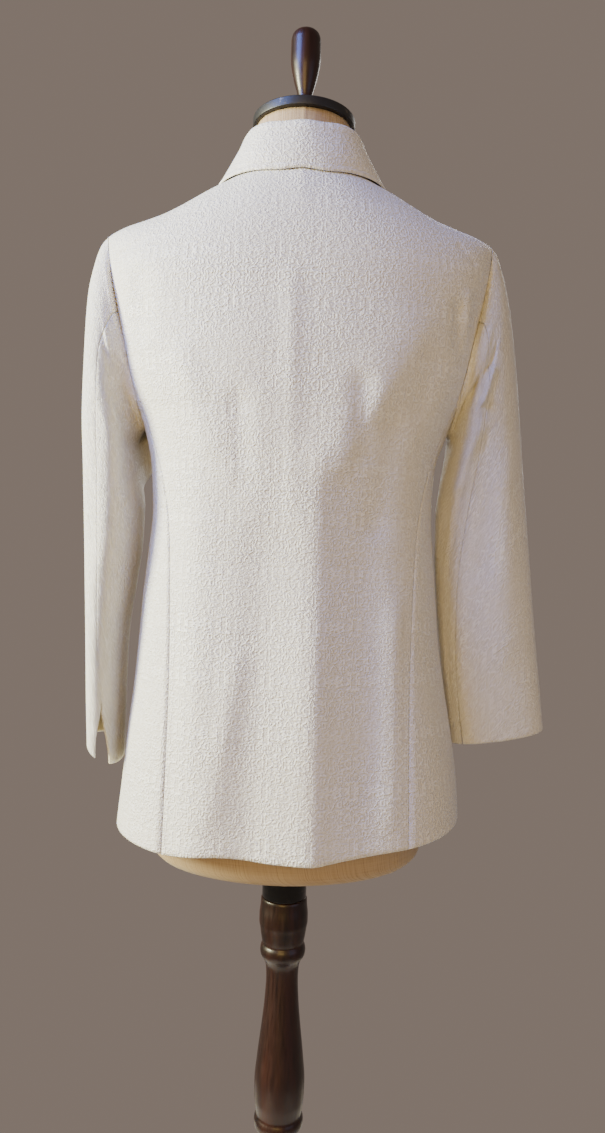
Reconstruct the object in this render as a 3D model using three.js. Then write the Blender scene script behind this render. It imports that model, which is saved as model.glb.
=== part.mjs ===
// A jacquard blazer worn by a limbless dress form on a turned wooden stand.
// Millimetres, +Z up. The floor is z = 0 and the pole's axis is x = y = 0.
// The garment's front faces -Y, and the wearer's left is +X.
// Each cloth piece is a closed wall, worked out from the body's surface or from a sleeve's sections.
import * as THREE from 'three';

const CLOTH = 2;
const SEAM_GAP = 0.3;
const LAYER_GAP = 0.5;

// The outer surface of the body of the garment, from the hem to the level of the chest:
// half widths on each side, and the depth of the back and of the front.
const BODY = [
  { z: 730, left: 184, right: 189.5, back: 138, front: 140 },
  { z: 760, left: 183, right: 187, back: 136, front: 138 },
  { z: 815, left: 178, right: 183.5, back: 131, front: 134 },
  { z: 870, left: 173, right: 176, back: 126, front: 130 },
  { z: 920, left: 167.5, right: 167, back: 121, front: 127 },
  { z: 965, left: 164, right: 160, back: 116, front: 124 },
  { z: 1010, left: 161, right: 156, back: 111, front: 121 },
  { z: 1055, left: 156.5, right: 152, back: 107.5, front: 119 },
  { z: 1100, left: 152.5, right: 148.5, back: 107, front: 120 },
  { z: 1145, left: 154.5, right: 150, back: 109.5, front: 126 },
  { z: 1192, left: 164, right: 164, back: 112, front: 132 },
  { z: 1225, left: 178, right: 178, back: 113, front: 132 },
  { z: 1260, left: 188, right: 188, back: 113, front: 129 },
  { z: 1300, left: 196, right: 196, back: 111, front: 122 },
  { z: 1320, left: 200, right: 200, back: 110, front: 118 },
];
const BODY_ROUNDNESS = 2.4;
const CHEST = 1320;

// Above the chest each column of the surface rises and rolls over to the shoulder line.
const SHOULDER_LINE = [
  { x: 0, z: 1482 },
  { x: 40, z: 1472 },
  { x: 80, z: 1452 },
  { x: 100, z: 1441 },
  { x: 115, z: 1432 },
  { x: 130, z: 1423.5 },
  { x: 145, z: 1416.5 },
  { x: 165, z: 1410 },
  { x: 184, z: 1405 },
  { x: 203, z: 1398 },
  { x: 212, z: 1393 },
];
const SHOULDER_ROUNDNESS = 2.2;
const NECK = { side: 80, back: 68 };

// Where the armhole seam lies: its distance from the middle at each height.
const ARMHOLE = [
  { z: 1192, x: 164 },
  { z: 1205, x: 166.5 },
  { z: 1225, x: 169.5 },
  { z: 1250, x: 175.5 },
  { z: 1275, x: 181 },
  { z: 1300, x: 187.5 },
  { z: 1335, x: 195.5 },
  { z: 1360, x: 200 },
  { z: 1380, x: 203.5 },
  { z: 1400, x: 207.5 },
];
const ARMHOLE_BOTTOM = 1192;
const ARMHOLE_TOP_X = 207.5;

// Seams between the back, the side panels and the fronts: distance from the middle at each height.
const SIDE_BACK_SEAM = [
  { z: 730, x: 120 },
  { z: 900, x: 119 },
  { z: 1040, x: 123 },
  { z: 1085, x: 126 },
  { z: 1130, x: 134 },
  { z: 1170, x: 147 },
  { z: 1200, x: 159 },
  { z: 1225, x: 169.5 },
  { z: 1250, x: 175.5 },
];
const SIDE_FRONT_SEAM = [
  { z: 730, x: 150 },
  { z: 900, x: 140 },
  { z: 1040, x: 130 },
  { z: 1100, x: 132 },
  { z: 1150, x: 143 },
  { z: 1190, x: 157 },
  { z: 1225, x: 169.5 },
  { z: 1250, x: 175.5 },
];
const SIDE_SEAM_TOP = 1226;

// The hem, from the wearer's right to the left, where it hangs a little lower. It rises over the hips.
const HEM = [
  { x: -190, z: 769 },
  { x: -125, z: 775 },
  { x: -62, z: 769 },
  { x: -22, z: 765.5 },
  { x: 10, z: 765.5 },
  { x: 65, z: 769 },
  { x: 118, z: 764.5 },
  { x: 190, z: 757 },
];
const HEM_LEVEL = 766;
const HIP_RISE = { left: 6, right: 8 };

// The largest folds of the back: each is a ridge or a trough between two places on the surface.
const BACK_FOLDS = [
  { x0: -25, z0: 1120, x1: -27, z1: 740, width: 22, height: 7 },
  { x0: -112, z0: 1290, x1: -30, z1: 1125, width: 30, height: 3 },
  { x0: 8, z0: 1330, x1: 2, z1: 1090, width: 10, height: 2 },
  { x0: 30, z0: 1080, x1: 38, z1: 740, width: 22, height: -3 },
  { x0: -70, z0: 1120, x1: -78, z1: 740, width: 24, height: -5 },
  { x0: 96, z0: 1120, x1: 88, z1: 740, width: 20, height: 3 },
  { x0: 160, z0: 1372, x1: 158, z1: 1270, width: 12, height: -3 },
  { x0: -160, z0: 1330, x1: -156, z1: 1250, width: 12, height: -4 },
];
const FOLD_MARGIN = 34;
const FOLD_FADE = 0.12;
// A fold that ends below this height runs out over the hem at full depth.
const HEM_FOLD = 790;
const FRONT_FOLDS = [
  { x0: 96, z0: 1160, x1: 84, z1: 780, width: 20, height: 4 },
  { x0: -96, z0: 1160, x1: -88, z1: 780, width: 20, height: 4 },
  { x0: 60, z0: 1060, x1: 56, z1: 780, width: 16, height: -3 },
  { x0: -60, z0: 1060, x1: -58, z1: 780, width: 16, height: -3 },
];

// The fronts: where they break at the button, and the line on which the lapels turn back.
const BREAK = { z: 1060, overlap: 18 };
const RIGHT_FRONT_LIFT = 8;
const LIFT_EDGE = { near: 26, far: 70 };
const LAPEL_LIFT = CLOTH + 2 * LAYER_GAP;
const LAPEL_ROLL = 2.2;
const LAPEL = { bottom: 1084, gorge: 1402, tipZ: 1372 };
const LAPEL_WIDTH = [
  { v: 0, width: 3 },
  { v: 0.12, width: 24 },
  { v: 0.35, width: 53 },
  { v: 0.65, width: 72 },
  { v: 1, width: 80 },
];

// Sleeve sections from the armhole to the cuff. outX, outZ is the outer edge and inX, inZ the inner one;
// back and front are how far the section reaches that way.
// elbow and inseam are the places of the two seams, in degrees from the outer edge by way of the back.
const SLEEVE_LEFT = [
  { outX: 212, outZ: 1391, inX: 168, inZ: 1187, back: 53, front: 58, elbow: 84, inseam: 222 },
  { outX: 219.5, outZ: 1368, inX: 172, inZ: 1180, back: 58, front: 63, elbow: 84, inseam: 224 },
  { outX: 226, outZ: 1332, inX: 175, inZ: 1170, back: 62, front: 66, elbow: 83, inseam: 226 },
  { outX: 228.5, outZ: 1280, inX: 173, inZ: 1155, back: 65, front: 68, elbow: 82, inseam: 228 },
  { outX: 229.5, outZ: 1215, inX: 169, inZ: 1132, back: 66, front: 68, elbow: 80, inseam: 230 },
  { outX: 228, outZ: 1150, inX: 165.5, inZ: 1104, back: 66, front: 66, elbow: 80, inseam: 232 },
  { outX: 225.5, outZ: 1085, inX: 166.5, inZ: 1068, back: 65, front: 63, elbow: 81, inseam: 234 },
  { outX: 223, outZ: 1018, inX: 172.5, inZ: 1020, back: 62, front: 60, elbow: 85, inseam: 236 },
  { outX: 220.5, outZ: 958, inX: 180, inZ: 962, back: 60, front: 57, elbow: 95, inseam: 238 },
  { outX: 219, outZ: 905, inX: 181.5, inZ: 892, back: 57, front: 54, elbow: 108, inseam: 240 },
  { outX: 217, outZ: 854, inX: 182, inZ: 829, back: 55, front: 52, elbow: 112, inseam: 240 },
];
const SLEEVE_RIGHT = [
  { outX: 211.5, outZ: 1391, inX: 168, inZ: 1187, back: 52, front: 58, elbow: 84, inseam: 222 },
  { outX: 219.5, outZ: 1368, inX: 168, inZ: 1179, back: 56, front: 62, elbow: 86, inseam: 224 },
  { outX: 228, outZ: 1330, inX: 166, inZ: 1168, back: 58, front: 63, elbow: 90, inseam: 228 },
  { outX: 235.5, outZ: 1278, inX: 163, inZ: 1152, back: 58, front: 62, elbow: 97, inseam: 232 },
  { outX: 242.5, outZ: 1215, inX: 159.5, inZ: 1130, back: 56, front: 60, elbow: 106, inseam: 237 },
  { outX: 249.5, outZ: 1145, inX: 156.5, inZ: 1102, back: 53, front: 57, elbow: 116, inseam: 243 },
  { outX: 257, outZ: 1078, inX: 156.5, inZ: 1063, back: 49, front: 52, elbow: 126, inseam: 249 },
  { outX: 263.5, outZ: 1018, inX: 159.5, inZ: 1012, back: 44, front: 46, elbow: 134, inseam: 255 },
  { outX: 270, outZ: 962, inX: 165, inZ: 955, back: 38, front: 39, elbow: 140, inseam: 260 },
  { outX: 276, outZ: 915, inX: 172, inZ: 905, back: 32, front: 31, elbow: 143, inseam: 264 },
  { outX: 281, outZ: 872, inX: 179.5, inZ: 855, back: 27, front: 24, elbow: 144, inseam: 266 },
];
// The largest folds of a sleeve, from one place to another: around it in degrees, and along it from 0 to 1.
const SLEEVE_LEFT_FOLDS = [
  { a0: 98, v0: 0.1, a1: 66, v1: 0.26, width: 16, height: -4 },
  { a0: 118, v0: 0.26, a1: 104, v1: 0.62, width: 17, height: 4 },
  { a0: 146, v0: 0.16, a1: 132, v1: 0.42, width: 14, height: -4 },
];
const SLEEVE_RIGHT_FOLDS = [
  { a0: 104, v0: 0.1, a1: 70, v1: 0.3, width: 15, height: -6 },
  { a0: 74, v0: 0.3, a1: 114, v1: 0.52, width: 15, height: 6 },
  { a0: 104, v0: 0.24, a1: 142, v1: 0.42, width: 15, height: -7 },
  { a0: 70, v0: 0.5, a1: 84, v1: 0.85, width: 20, height: 3 },
];
const SLEEVE_ROWS = [0, 0.03, 0.07, 0.12, 0.18, 0.25, 0.33, 0.41]
  .concat([0.49, 0.57, 0.65, 0.73, 0.81, 0.89, 0.95, 1]);
// Half the gap between a sleeve's two pieces, wider at the head where the seams turn sharply.
const SLEEVE_SEAM = { head: 1.1, low: 0.3, from: 0.3 };
const ARMHOLE_GAP = 0.9;
const UNDERARM_GAP = 1.2;
// Within this share of its length a sleeve turns from the armhole's ring to its own sections.
const SLEEVE_HEAD = 0.09;
const LEAST_RADIUS = 20;
const SLEEVE_FOLD_FADE = { out: 0.2, in: 0.15 };
const VENT = { start: 0.9, left: 23, right: 1.2 };

// The collar's sections. Round the neck angle is the direction of a section, seen from above;
// roll and edge are how far the roll line and the outer edge lie out from the neck seam, and up.
const COLLAR_BACK = [
  { angle: 0, rollOut: -3, rollUp: 43, edgeOut: 8, bulge: 3 },
  { angle: 30, rollOut: -5, rollUp: 45, edgeOut: 9.3, bulge: 3 },
  { angle: 60, rollOut: -14, rollUp: 46, edgeOut: 10.5, bulge: 1 },
  { angle: 90, rollOut: -23.5, rollUp: 46, edgeOut: 11, bulge: -1 },
];
const COLLAR_BACK_ANGLES = [90, 75, 60, 45, 30, 15, 0];
// Down the front: the heights of the neck seam and the roll line, and where the outer edge lies.
const COLLAR_FRONT = [
  { neckZ: 1447, rollIn: 17, rollOut: 9, rollUp: 38, edgeX: 99, edgeZ: 1438 },
  { neckZ: 1440, rollIn: 12, rollOut: 13, rollUp: 30, edgeX: 107, edgeZ: 1430 },
  { neckZ: 1430, rollIn: 8, rollOut: 12, rollUp: 22, edgeX: 114, edgeZ: 1419 },
  { neckZ: 1419, rollIn: 4, rollOut: 9, rollUp: 14, edgeX: 119, edgeZ: 1410 },
  { neckZ: 1406, rollIn: 0, rollOut: 6, rollUp: 5, edgeX: 122, edgeZ: 1402 },
];
const COLLAR_LIFT = CLOTH + 2.4 * LAYER_GAP;
const ROLL_HALF = 3;
const NOTCH = { x: 103, z: 1388.5 };
// The fall's middle places: shares of the way from the roll line to the edge, and how far they stand out.
const FALL_BACK = [0.3, 0.65];
const FALL_FRONT = { near: 0.55, nearDown: 0.4, nearLift: 3, far: 0.66, farDown: 0.5, farLift: 0.8 };
const ROLL_OUT_FRONT = { x: 0.75, y: -0.66 };
// The rows of the collar's wall, counted in the places of a section; the roll has twice as many.
const COLLAR_ROWS = [0, 1, 2, 2.5, 3, 3.5, 4, 5, 6, 7];

// The dress form: half width, depths and height of each ring of the linen covered torso and neck.
const FORM = [
  { z: 728, wide: 126, back: 92, front: 92 },
  { z: 732, wide: 139, back: 103, front: 103 },
  { z: 742, wide: 146.5, back: 109, front: 109 },
  { z: 770, wide: 149, back: 112, front: 112 },
  { z: 860, wide: 150, back: 110, front: 114 },
  { z: 960, wide: 140, back: 102, front: 110 },
  { z: 1080, wide: 121, back: 88, front: 98 },
  { z: 1160, wide: 132, back: 96, front: 110 },
  { z: 1230, wide: 148, back: 99, front: 119 },
  { z: 1300, wide: 162, back: 97, front: 110 },
  { z: 1350, wide: 168, back: 88, front: 96 },
  { z: 1380, wide: 171, back: 78, front: 82 },
  { z: 1396, wide: 170, back: 70, front: 72 },
  { z: 1405, wide: 164, back: 64, front: 66 },
  { z: 1412, wide: 145, back: 60, front: 62 },
  { z: 1419, wide: 130, back: 58, front: 60 },
  { z: 1428, wide: 114, back: 56, front: 57 },
  { z: 1437, wide: 98, back: 54, front: 55 },
  { z: 1448, wide: 79, back: 52, front: 52 },
  { z: 1462, wide: 64, back: 51, front: 51 },
  { z: 1485, wide: 51.5, back: 51, front: 51 },
  { z: 1519, wide: 51, back: 50, front: 50 },
];
const FORM_SIDES = 28;

const CAP = { bottom: 1519.3, top: 1529, radius: 55.5, edge: 1.2 };
const FINIAL = [
  { z: 0, radius: 9.5 },
  { z: 3, radius: 9.5 },
  { z: 6, radius: 7.6 },
  { z: 24, radius: 7.6 },
  { z: 31, radius: 8.6 },
  { z: 35.5, radius: 9.9 },
  { z: 43.2, radius: 12.1 },
  { z: 52.8, radius: 14.3 },
  { z: 62, radius: 15.8 },
  { z: 70, radius: 16.2 },
  { z: 86, radius: 16.1 },
  { z: 92, radius: 14.9 },
  { z: 95.5, radius: 12 },
  { z: 97, radius: 8 },
];
const POLE_COLLAR = { bottom: 680.5, top: FORM[0].z - SEAM_GAP, radius: 24.4, edge: 0.8 };
const POLE_TOP = 680.2;
// The turned pole below the form, by the distance down from its top.
const POLE = [
  { down: 0, radius: 24.2 },
  { down: 1.5, radius: 25.2 },
  { down: 8, radius: 25.6 },
  { down: 20, radius: 26.8 },
  { down: 27, radius: 26.8 },
  { down: 33, radius: 25.8 },
  { down: 48, radius: 23.4 },
  { down: 51, radius: 22.6 },
  { down: 54, radius: 24.2 },
  { down: 59, radius: 25 },
  { down: 64, radius: 24.2 },
  { down: 70, radius: 20.5 },
  { down: 77, radius: 18.3 },
  { down: 91, radius: 17.6 },
  { down: 115, radius: 18.8 },
  { down: 140, radius: 21.2 },
  { down: 178, radius: 25.5 },
  { down: 206, radius: 27.8 },
  { down: 226, radius: 27.2 },
  { down: 238, radius: 25.6 },
  { down: 242, radius: 25.2 },
  { down: 246, radius: 26.9 },
  { down: 250, radius: 27.2 },
  { down: 255, radius: 26.6 },
  { down: 262, radius: 22 },
  { down: 290, radius: 20 },
  { down: 560, radius: 20 },
  { down: 585, radius: 22 },
  { down: 600, radius: 27 },
  { down: 612, radius: 28 },
];
const BASE = [
  { z: 0, radius: 168 },
  { z: 4, radius: 170 },
  { z: 14, radius: 170 },
  { z: 20, radius: 166 },
  { z: 24, radius: 158 },
  { z: 28, radius: 120 },
  { z: 40, radius: 60 },
  { z: 48, radius: 38 },
  { z: 55, radius: 32 },
  { z: 67.9, radius: 30 },
];
const ROUND_SIDES = 28;

const BUTTON = { z: 1068, radius: 11, thick: 4, edge: 0.8, edgeIn: 1.5, domeShare: 0.5 };

// How many steps each piece of cloth has across it.
const COLUMNS = { back: 22, side: 8, front: 10, lapel: 5, sleeveTop: 13, sleeveUnder: 9 };
const LAPEL_ROWS = 12;
// The back's columns lie closer together toward its seams, by this share of a sine.
const BACK_CROWDING = 0.4;
// A side panel turns to the armhole's ring over its upper part, but not at its seams.
const SIDE_BLEND = { from: 0.6, seam: 0.1 };

const RAD = Math.PI / 180;
const NUDGE = 1e-4;

// A smooth curve through the rows of a table: the value of one column at any place of another.
function curve(rows, key, column) {
  const keys = rows.map((row) => row[key]);
  const values = rows.map((row) => row[column]);
  const slopes = keys.slice(1).map((k, i) => (values[i + 1] - values[i]) / (k - keys[i]));
  const tangents = keys.map((_, i) => {
    if (i === 0) return slopes[0];
    if (i === keys.length - 1) return slopes[i - 1];
    const [before, after] = [slopes[i - 1], slopes[i]];
    return before * after <= 0 ? 0 : (2 * before * after) / (before + after);
  });
  return (at) => {
    const last = keys.length - 1;
    if (at <= keys[0]) return values[0] + slopes[0] * (at - keys[0]);
    if (at >= keys[last]) return values[last] + slopes[last - 1] * (at - keys[last]);
    const i = keys.findIndex((k) => k > at) - 1;
    const step = keys[i + 1] - keys[i];
    const t = (at - keys[i]) / step;
    const rise = values[i] * (2 * t ** 3 - 3 * t ** 2 + 1) + values[i + 1] * (3 * t ** 2 - 2 * t ** 3);
    return rise + step * (tangents[i] * (t ** 3 - 2 * t ** 2 + t) + tangents[i + 1] * (t ** 3 - t ** 2));
  };
}

const lerp = (a, b, t) => a + (b - a) * t;
const clamp = (value, low, high) => Math.min(high, Math.max(low, value));

function smoothstep(from, to, value) {
  const t = clamp((value - from) / (to - from), 0, 1);
  return t * t * (3 - 2 * t);
}

const bodyLeft = curve(BODY, 'z', 'left');
const bodyRight = curve(BODY, 'z', 'right');
const bodyDepth = { back: curve(BODY, 'z', 'back'), front: curve(BODY, 'z', 'front') };
const shoulderZ = curve(SHOULDER_LINE, 'x', 'z');
const armholeX = curve(ARMHOLE, 'z', 'x');
const sideBackX = curve(SIDE_BACK_SEAM, 'z', 'x');
const sideFrontX = curve(SIDE_FRONT_SEAM, 'z', 'x');
const ARMHOLE_TOP = shoulderZ(ARMHOLE_TOP_X);
const hemZ = curve(HEM, 'x', 'z');
const halfWidth = (x, z) => (x >= 0 ? bodyLeft(z) : bodyRight(z));

// How far a fold lifts the surface at a place: a soft ridge along a line, fading at both its ends.
function foldLift(folds, x, z) {
  return folds.reduce((sum, fold) => {
    const t = (z - fold.z0) / (fold.z1 - fold.z0);
    const end = fold.z1 < HEM_FOLD ? 1 : 1 - smoothstep(1 - FOLD_FADE, 1 + FOLD_FADE, t);
    const fade = smoothstep(-FOLD_FADE, FOLD_FADE, t) * end;
    const across = (x - lerp(fold.x0, fold.x1, clamp(t, 0, 1))) / fold.width;
    return sum + fold.height * fade * Math.exp(-across * across);
  }, 0);
}

const backEdgeX = (z) => (z < SIDE_SEAM_TOP ? sideBackX(z) : armholeX(z));
const frontEdgeX = (z) => (z < SIDE_SEAM_TOP ? sideFrontX(z) : armholeX(z));

// The folds of a panel at a place, flattened toward its seams and the shoulder line.
function panelFold(side, x, z, depth) {
  const edge = side === 'back' ? backEdgeX(z) : frontEdgeX(z);
  const flatten = smoothstep(0, FOLD_MARGIN, edge - Math.abs(x)) * smoothstep(0, FOLD_MARGIN, depth);
  return foldLift(side === 'back' ? BACK_FOLDS : FRONT_FOLDS, x, z) * flatten;
}

// The depth of the plain surface below the chest.
function ringDepth(side, x, z) {
  const out = Math.min(1, Math.abs(x) / halfWidth(x, z));
  return bodyDepth[side](z) * (1 - out ** BODY_ROUNDNESS) ** (1 / BODY_ROUNDNESS);
}

// The armhole's height for a turn of 0 at the chest to 1 at the shoulder line.
const rise = (turn) => Math.sin((turn * Math.PI) / 2) ** (2 / SHOULDER_ROUNDNESS);
const edgeZ = (turn) => lerp(CHEST, ARMHOLE_TOP, rise(turn));

// The turn from chest to shoulder line at a height, in the column at x.
function turnAt(x, z) {
  const up = clamp((z - CHEST) / (shoulderZ(Math.abs(x)) - CHEST), 0, 1);
  return (Math.asin(up ** (SHOULDER_ROUNDNESS / 2)) * 2) / Math.PI;
}

function depthFromTurn(side, x, turn) {
  const chestX = (x / armholeX(edgeZ(turn))) * armholeX(CHEST);
  return ringDepth(side, chestX, CHEST) * Math.cos((turn * Math.PI) / 2) ** (2 / SHOULDER_ROUNDNESS);
}

// The depth of the surface at any place on the back or the front, with its folds.
function surfaceDepth(side, x, z) {
  const plain = z <= CHEST ? ringDepth(side, x, z) : depthFromTurn(side, x, turnAt(x, z));
  return plain + panelFold(side, x, z, plain);
}

function surfacePoint(side, x, z, lift = 0) {
  const depth = surfaceDepth(side, x, z) + lift;
  return new THREE.Vector3(x, side === 'back' ? depth : -depth, z);
}

// A closed wall on a surface: pointAt(s, v) gives the outer face at each of the columns and rows,
// and the inner face lies one thickness behind it. Rows below steadyFrom take their direction from there.
function wall(pointAt, columns, rows, steadyFrom = 0) {
  const count = columns.length;
  const outer = rows.flatMap((v) => columns.map((s) => pointAt(s, v)));
  const inner = rows.flatMap((v) =>
    columns.map((s) => {
      const out = normalAt(pointAt, s, Math.max(v, steadyFrom));
      return pointAt(s, v).addScaledVector(out, -CLOTH);
    }),
  );
  const faces = [];
  const quad = (a, b, c, d) => faces.push(a, b, c, a, c, d);
  const behind = outer.length;
  for (let row = 0; row < rows.length - 1; row += 1) {
    for (let column = 0; column < count - 1; column += 1) {
      const a = row * count + column;
      quad(a, a + 1, a + 1 + count, a + count);
      quad(behind + a, behind + a + count, behind + a + 1 + count, behind + a + 1);
    }
    const first = row * count;
    const last = first + count - 1;
    quad(first + count, behind + first + count, behind + first, first);
    quad(last, behind + last, behind + last + count, last + count);
  }
  const top = (rows.length - 1) * count;
  for (let column = 0; column < count - 1; column += 1) {
    quad(column + 1, column, behind + column, behind + column + 1);
    quad(top + column, top + column + 1, behind + top + column + 1, behind + top + column);
  }
  return solid([...outer, ...inner], faces);
}

// The surface's outward direction at a place, from its slopes there.
function normalAt(pointAt, s, v) {
  const slope = (toPoint, at) => {
    const low = Math.max(at - NUDGE, 0);
    const high = Math.min(at + NUDGE, 1);
    return toPoint(high).sub(toPoint(low));
  };
  const across = slope((at) => pointAt(at, v), s);
  const up = slope((at) => pointAt(s, at), v);
  return across.cross(up).normalize();
}

// A geometry from points and triangles, with its faces turned outward.
function solid(points, faces) {
  const corner = (i) => points[faces[i]];
  let volume = 0;
  for (let i = 0; i < faces.length; i += 3) {
    volume += corner(i).dot(corner(i + 1).clone().cross(corner(i + 2)));
  }
  const index = volume < 0 ? [...faces].reverse() : faces;
  const geometry = new THREE.BufferGeometry().setFromPoints(points);
  geometry.setIndex(index);
  geometry.computeVertexNormals();
  return geometry;
}

// A solid through closed rings of points, with flat ends.
function loft(rings) {
  const count = rings[0].length;
  const points = rings.flat();
  const faces = [];
  for (let row = 0; row < rings.length - 1; row += 1) {
    for (let i = 0; i < count; i += 1) {
      const next = (i + 1) % count;
      const [a, b] = [row * count + i, row * count + next];
      faces.push(a, b, b + count, a, b + count, a + count);
    }
  }
  const top = (rings.length - 1) * count;
  for (let i = 1; i < count - 1; i += 1) {
    faces.push(0, i + 1, i, top, top + i, top + i + 1);
  }
  return solid(points, faces);
}

// A turned solid, from radii at heights, closed on its axis at both ends.
function turned(rows) {
  const ordered = [...rows].sort((a, b) => a.z - b.z);
  const profile = [
    new THREE.Vector2(0, ordered[0].z),
    ...ordered.map((row) => new THREE.Vector2(row.radius, row.z)),
    new THREE.Vector2(0, ordered[ordered.length - 1].z),
  ];
  return new THREE.LatheGeometry(profile, ROUND_SIDES).rotateX(Math.PI / 2);
}

const steps = (count) => Array.from({ length: count + 1 }, (_, i) => i / count);

// Rows of a panel: up to LOW_PART they run from the hem to the chest, then over to the shoulder line.
const LOW_PART = 0.7;
const SIDE_TOP_ROW = 0.83;
const LOW_ROWS = [0, 0.07, 0.16, 0.26, 0.36, 0.46, 0.55, 0.63, 0.7, 0.77, 0.83, 0.89, 0.95, 1];
const HIGH_ROWS = [0.16, 0.32, 0.5, 0.68, 0.86, 1];
const PANEL_ROWS = [
  ...LOW_ROWS.map((v) => v * LOW_PART),
  ...HIGH_ROWS.map((v) => LOW_PART + v * (1 - LOW_PART)),
];

// The turn at which a column of the back ends in the neck seam.
function neckTurn(x) {
  if (x >= NECK.side) return 1;
  const depth = NECK.back * Math.sqrt(1 - (x / NECK.side) ** 2);
  const chest = ringDepth('back', x, CHEST);
  return (Math.acos((depth / chest) ** (SHOULDER_ROUNDNESS / 2)) * 2) / Math.PI;
}

// A place above the chest, by its turn toward the shoulder line.
function highPoint(side, x, turn, lift = 0) {
  const z = lerp(CHEST, shoulderZ(Math.abs(x)), rise(turn));
  const plain = depthFromTurn(side, x, turn);
  const seam = (turn * SEAM_GAP) / 2;
  const depth = plain + panelFold(side, x, z, plain) + lift + seam;
  return new THREE.Vector3(x, side === 'back' ? depth : -depth, z);
}

// A point of a panel: xAt gives how far out its column lies at a height, and endTurn where it ends.
function panelPoint(side, v, xAt, endTurn, lift) {
  if (v <= LOW_PART) {
    const z = lerp(hemZ(xAt(HEM_LEVEL, HEM_LEVEL)), CHEST, v / LOW_PART);
    const x = xAt(z, z);
    return surfacePoint(side, x, z, lift(x));
  }
  const turn = (v - LOW_PART) / (1 - LOW_PART);
  const x = xAt(edgeZ(turn), lerp(CHEST, shoulderZ(NECK.side), rise(turn)));
  return highPoint(side, x, turn * endTurn(x), lift(x));
}

function backPanel() {
  const spread = (s) => {
    const t = s * 2 - 1;
    return lerp(t, Math.sin((t * Math.PI) / 2), BACK_CROWDING);
  };
  const pointAt = (s, v) =>
    panelPoint(
      'back',
      v,
      (z) => spread(s) * -(backEdgeX(z) - SEAM_GAP / 2),
      (x) => neckTurn(Math.abs(x)),
      () => 0,
    );
  return wall(pointAt, steps(COLUMNS.back), PANEL_ROWS);
}

// A surface's columns run round the body the same way on both sides.
const mirrored = (pointAt, hand) => (s, v) => pointAt(hand > 0 ? 1 - s : s, v);

// The ring of the armhole seam: angle 0 is the shoulder, 90 the back, 180 the underarm.
function armholePoint(hand, angle) {
  const t = Math.cos(angle * RAD);
  const z = lerp(ARMHOLE_BOTTOM, ARMHOLE_TOP, (t + 1) / 2);
  const x = hand * armholeX(z);
  const side = angle <= 180 ? 'back' : 'front';
  const depth = z <= CHEST ? ringDepth(side, x, z) : depthFromTurn(side, x, turnAt(x, z));
  return new THREE.Vector3(x, side === 'back' ? depth : -depth, z);
}

function sidePanel(hand) {
  const hipRise = hand > 0 ? HIP_RISE.left : HIP_RISE.right;
  const pointAt = (s, v) => {
    const seam = hemZ(hand * lerp(sideBackX(HEM_LEVEL), sideFrontX(HEM_LEVEL), s));
    const seamTop = lerp(seam, CHEST, SIDE_TOP_ROW);
    const foot = seam + hipRise * Math.sin(s * Math.PI);
    const around = Math.acos(((seamTop - ARMHOLE_BOTTOM) / (ARMHOLE_TOP - ARMHOLE_BOTTOM)) * 2 - 1) / RAD;
    const top = armholePoint(hand, lerp(around, 360 - around, s));
    const z = lerp(foot, top.z - UNDERARM_GAP, v);
    const back = ringDepth('back', hand * (sideBackX(z) + SEAM_GAP / 2), z);
    const front = -ringDepth('front', hand * (sideFrontX(z) + SEAM_GAP / 2), z);
    const blend = smoothstep(SIDE_BLEND.from, 1, v) * smoothstep(0, SIDE_BLEND.seam, 0.5 - Math.abs(s - 0.5));
    const y = lerp(lerp(back, front, s), top.y, blend);
    const depth = bodyDepth[y >= 0 ? 'back' : 'front'](z);
    const out = (1 - (Math.abs(y) / depth) ** BODY_ROUNDNESS) ** (1 / BODY_ROUNDNESS);
    return new THREE.Vector3(hand * halfWidth(hand, z) * out, y, z);
  };
  const rows = LOW_ROWS.filter((v) => v <= SIDE_TOP_ROW).map((v) => v / SIDE_TOP_ROW);
  return wall(mirrored(pointAt, hand), steps(COLUMNS.side), rows);
}

// Where a front's edge lies: straight below the button, and on the lapel's roll line above it.
function frontEdge(hand, z) {
  const up = clamp((z - BREAK.z) / (shoulderZ(NECK.side) - BREAK.z), 0, 1);
  return hand * lerp(-BREAK.overlap, NECK.side, up);
}

// How far a front stands out: the right one lies over the left one and its lapel.
function frontLift(hand, x) {
  if (hand > 0) return 0;
  return RIGHT_FRONT_LIFT * smoothstep(-LIFT_EDGE.far, -LIFT_EDGE.near, x);
}

function frontPanel(hand) {
  const pointAt = (s, v) =>
    panelPoint(
      'front',
      v,
      (z, edgeHeight) => {
        const outer = hand * ((v <= LOW_PART ? frontEdgeX(z) : armholeX(z)) - SEAM_GAP / 2);
        return lerp(frontEdge(hand, edgeHeight), outer, s);
      },
      () => 1,
      (x) => frontLift(hand, x),
    );
  return wall(mirrored(pointAt, -hand), steps(COLUMNS.front), PANEL_ROWS);
}

// The turned-back top of a front, which lies on it.
function lapel(hand) {
  const width = curve(LAPEL_WIDTH, 'v', 'width');
  const pointAt = (s, v) => {
    const rollZ = lerp(LAPEL.bottom, LAPEL.gorge, v);
    const outZ = lerp(LAPEL.bottom, LAPEL.tipZ, v);
    const roll = frontEdge(hand, rollZ);
    const outer = frontEdge(hand, outZ) + hand * width(v);
    const x = lerp(roll, outer, s);
    const proud = LAPEL_ROLL * (1 - s) ** 3;
    return surfacePoint('front', x, lerp(rollZ, outZ, s), frontLift(hand, x) + LAPEL_LIFT + proud);
  };
  return wall(mirrored(pointAt, -hand), steps(COLUMNS.lapel), steps(LAPEL_ROWS));
}

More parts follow.
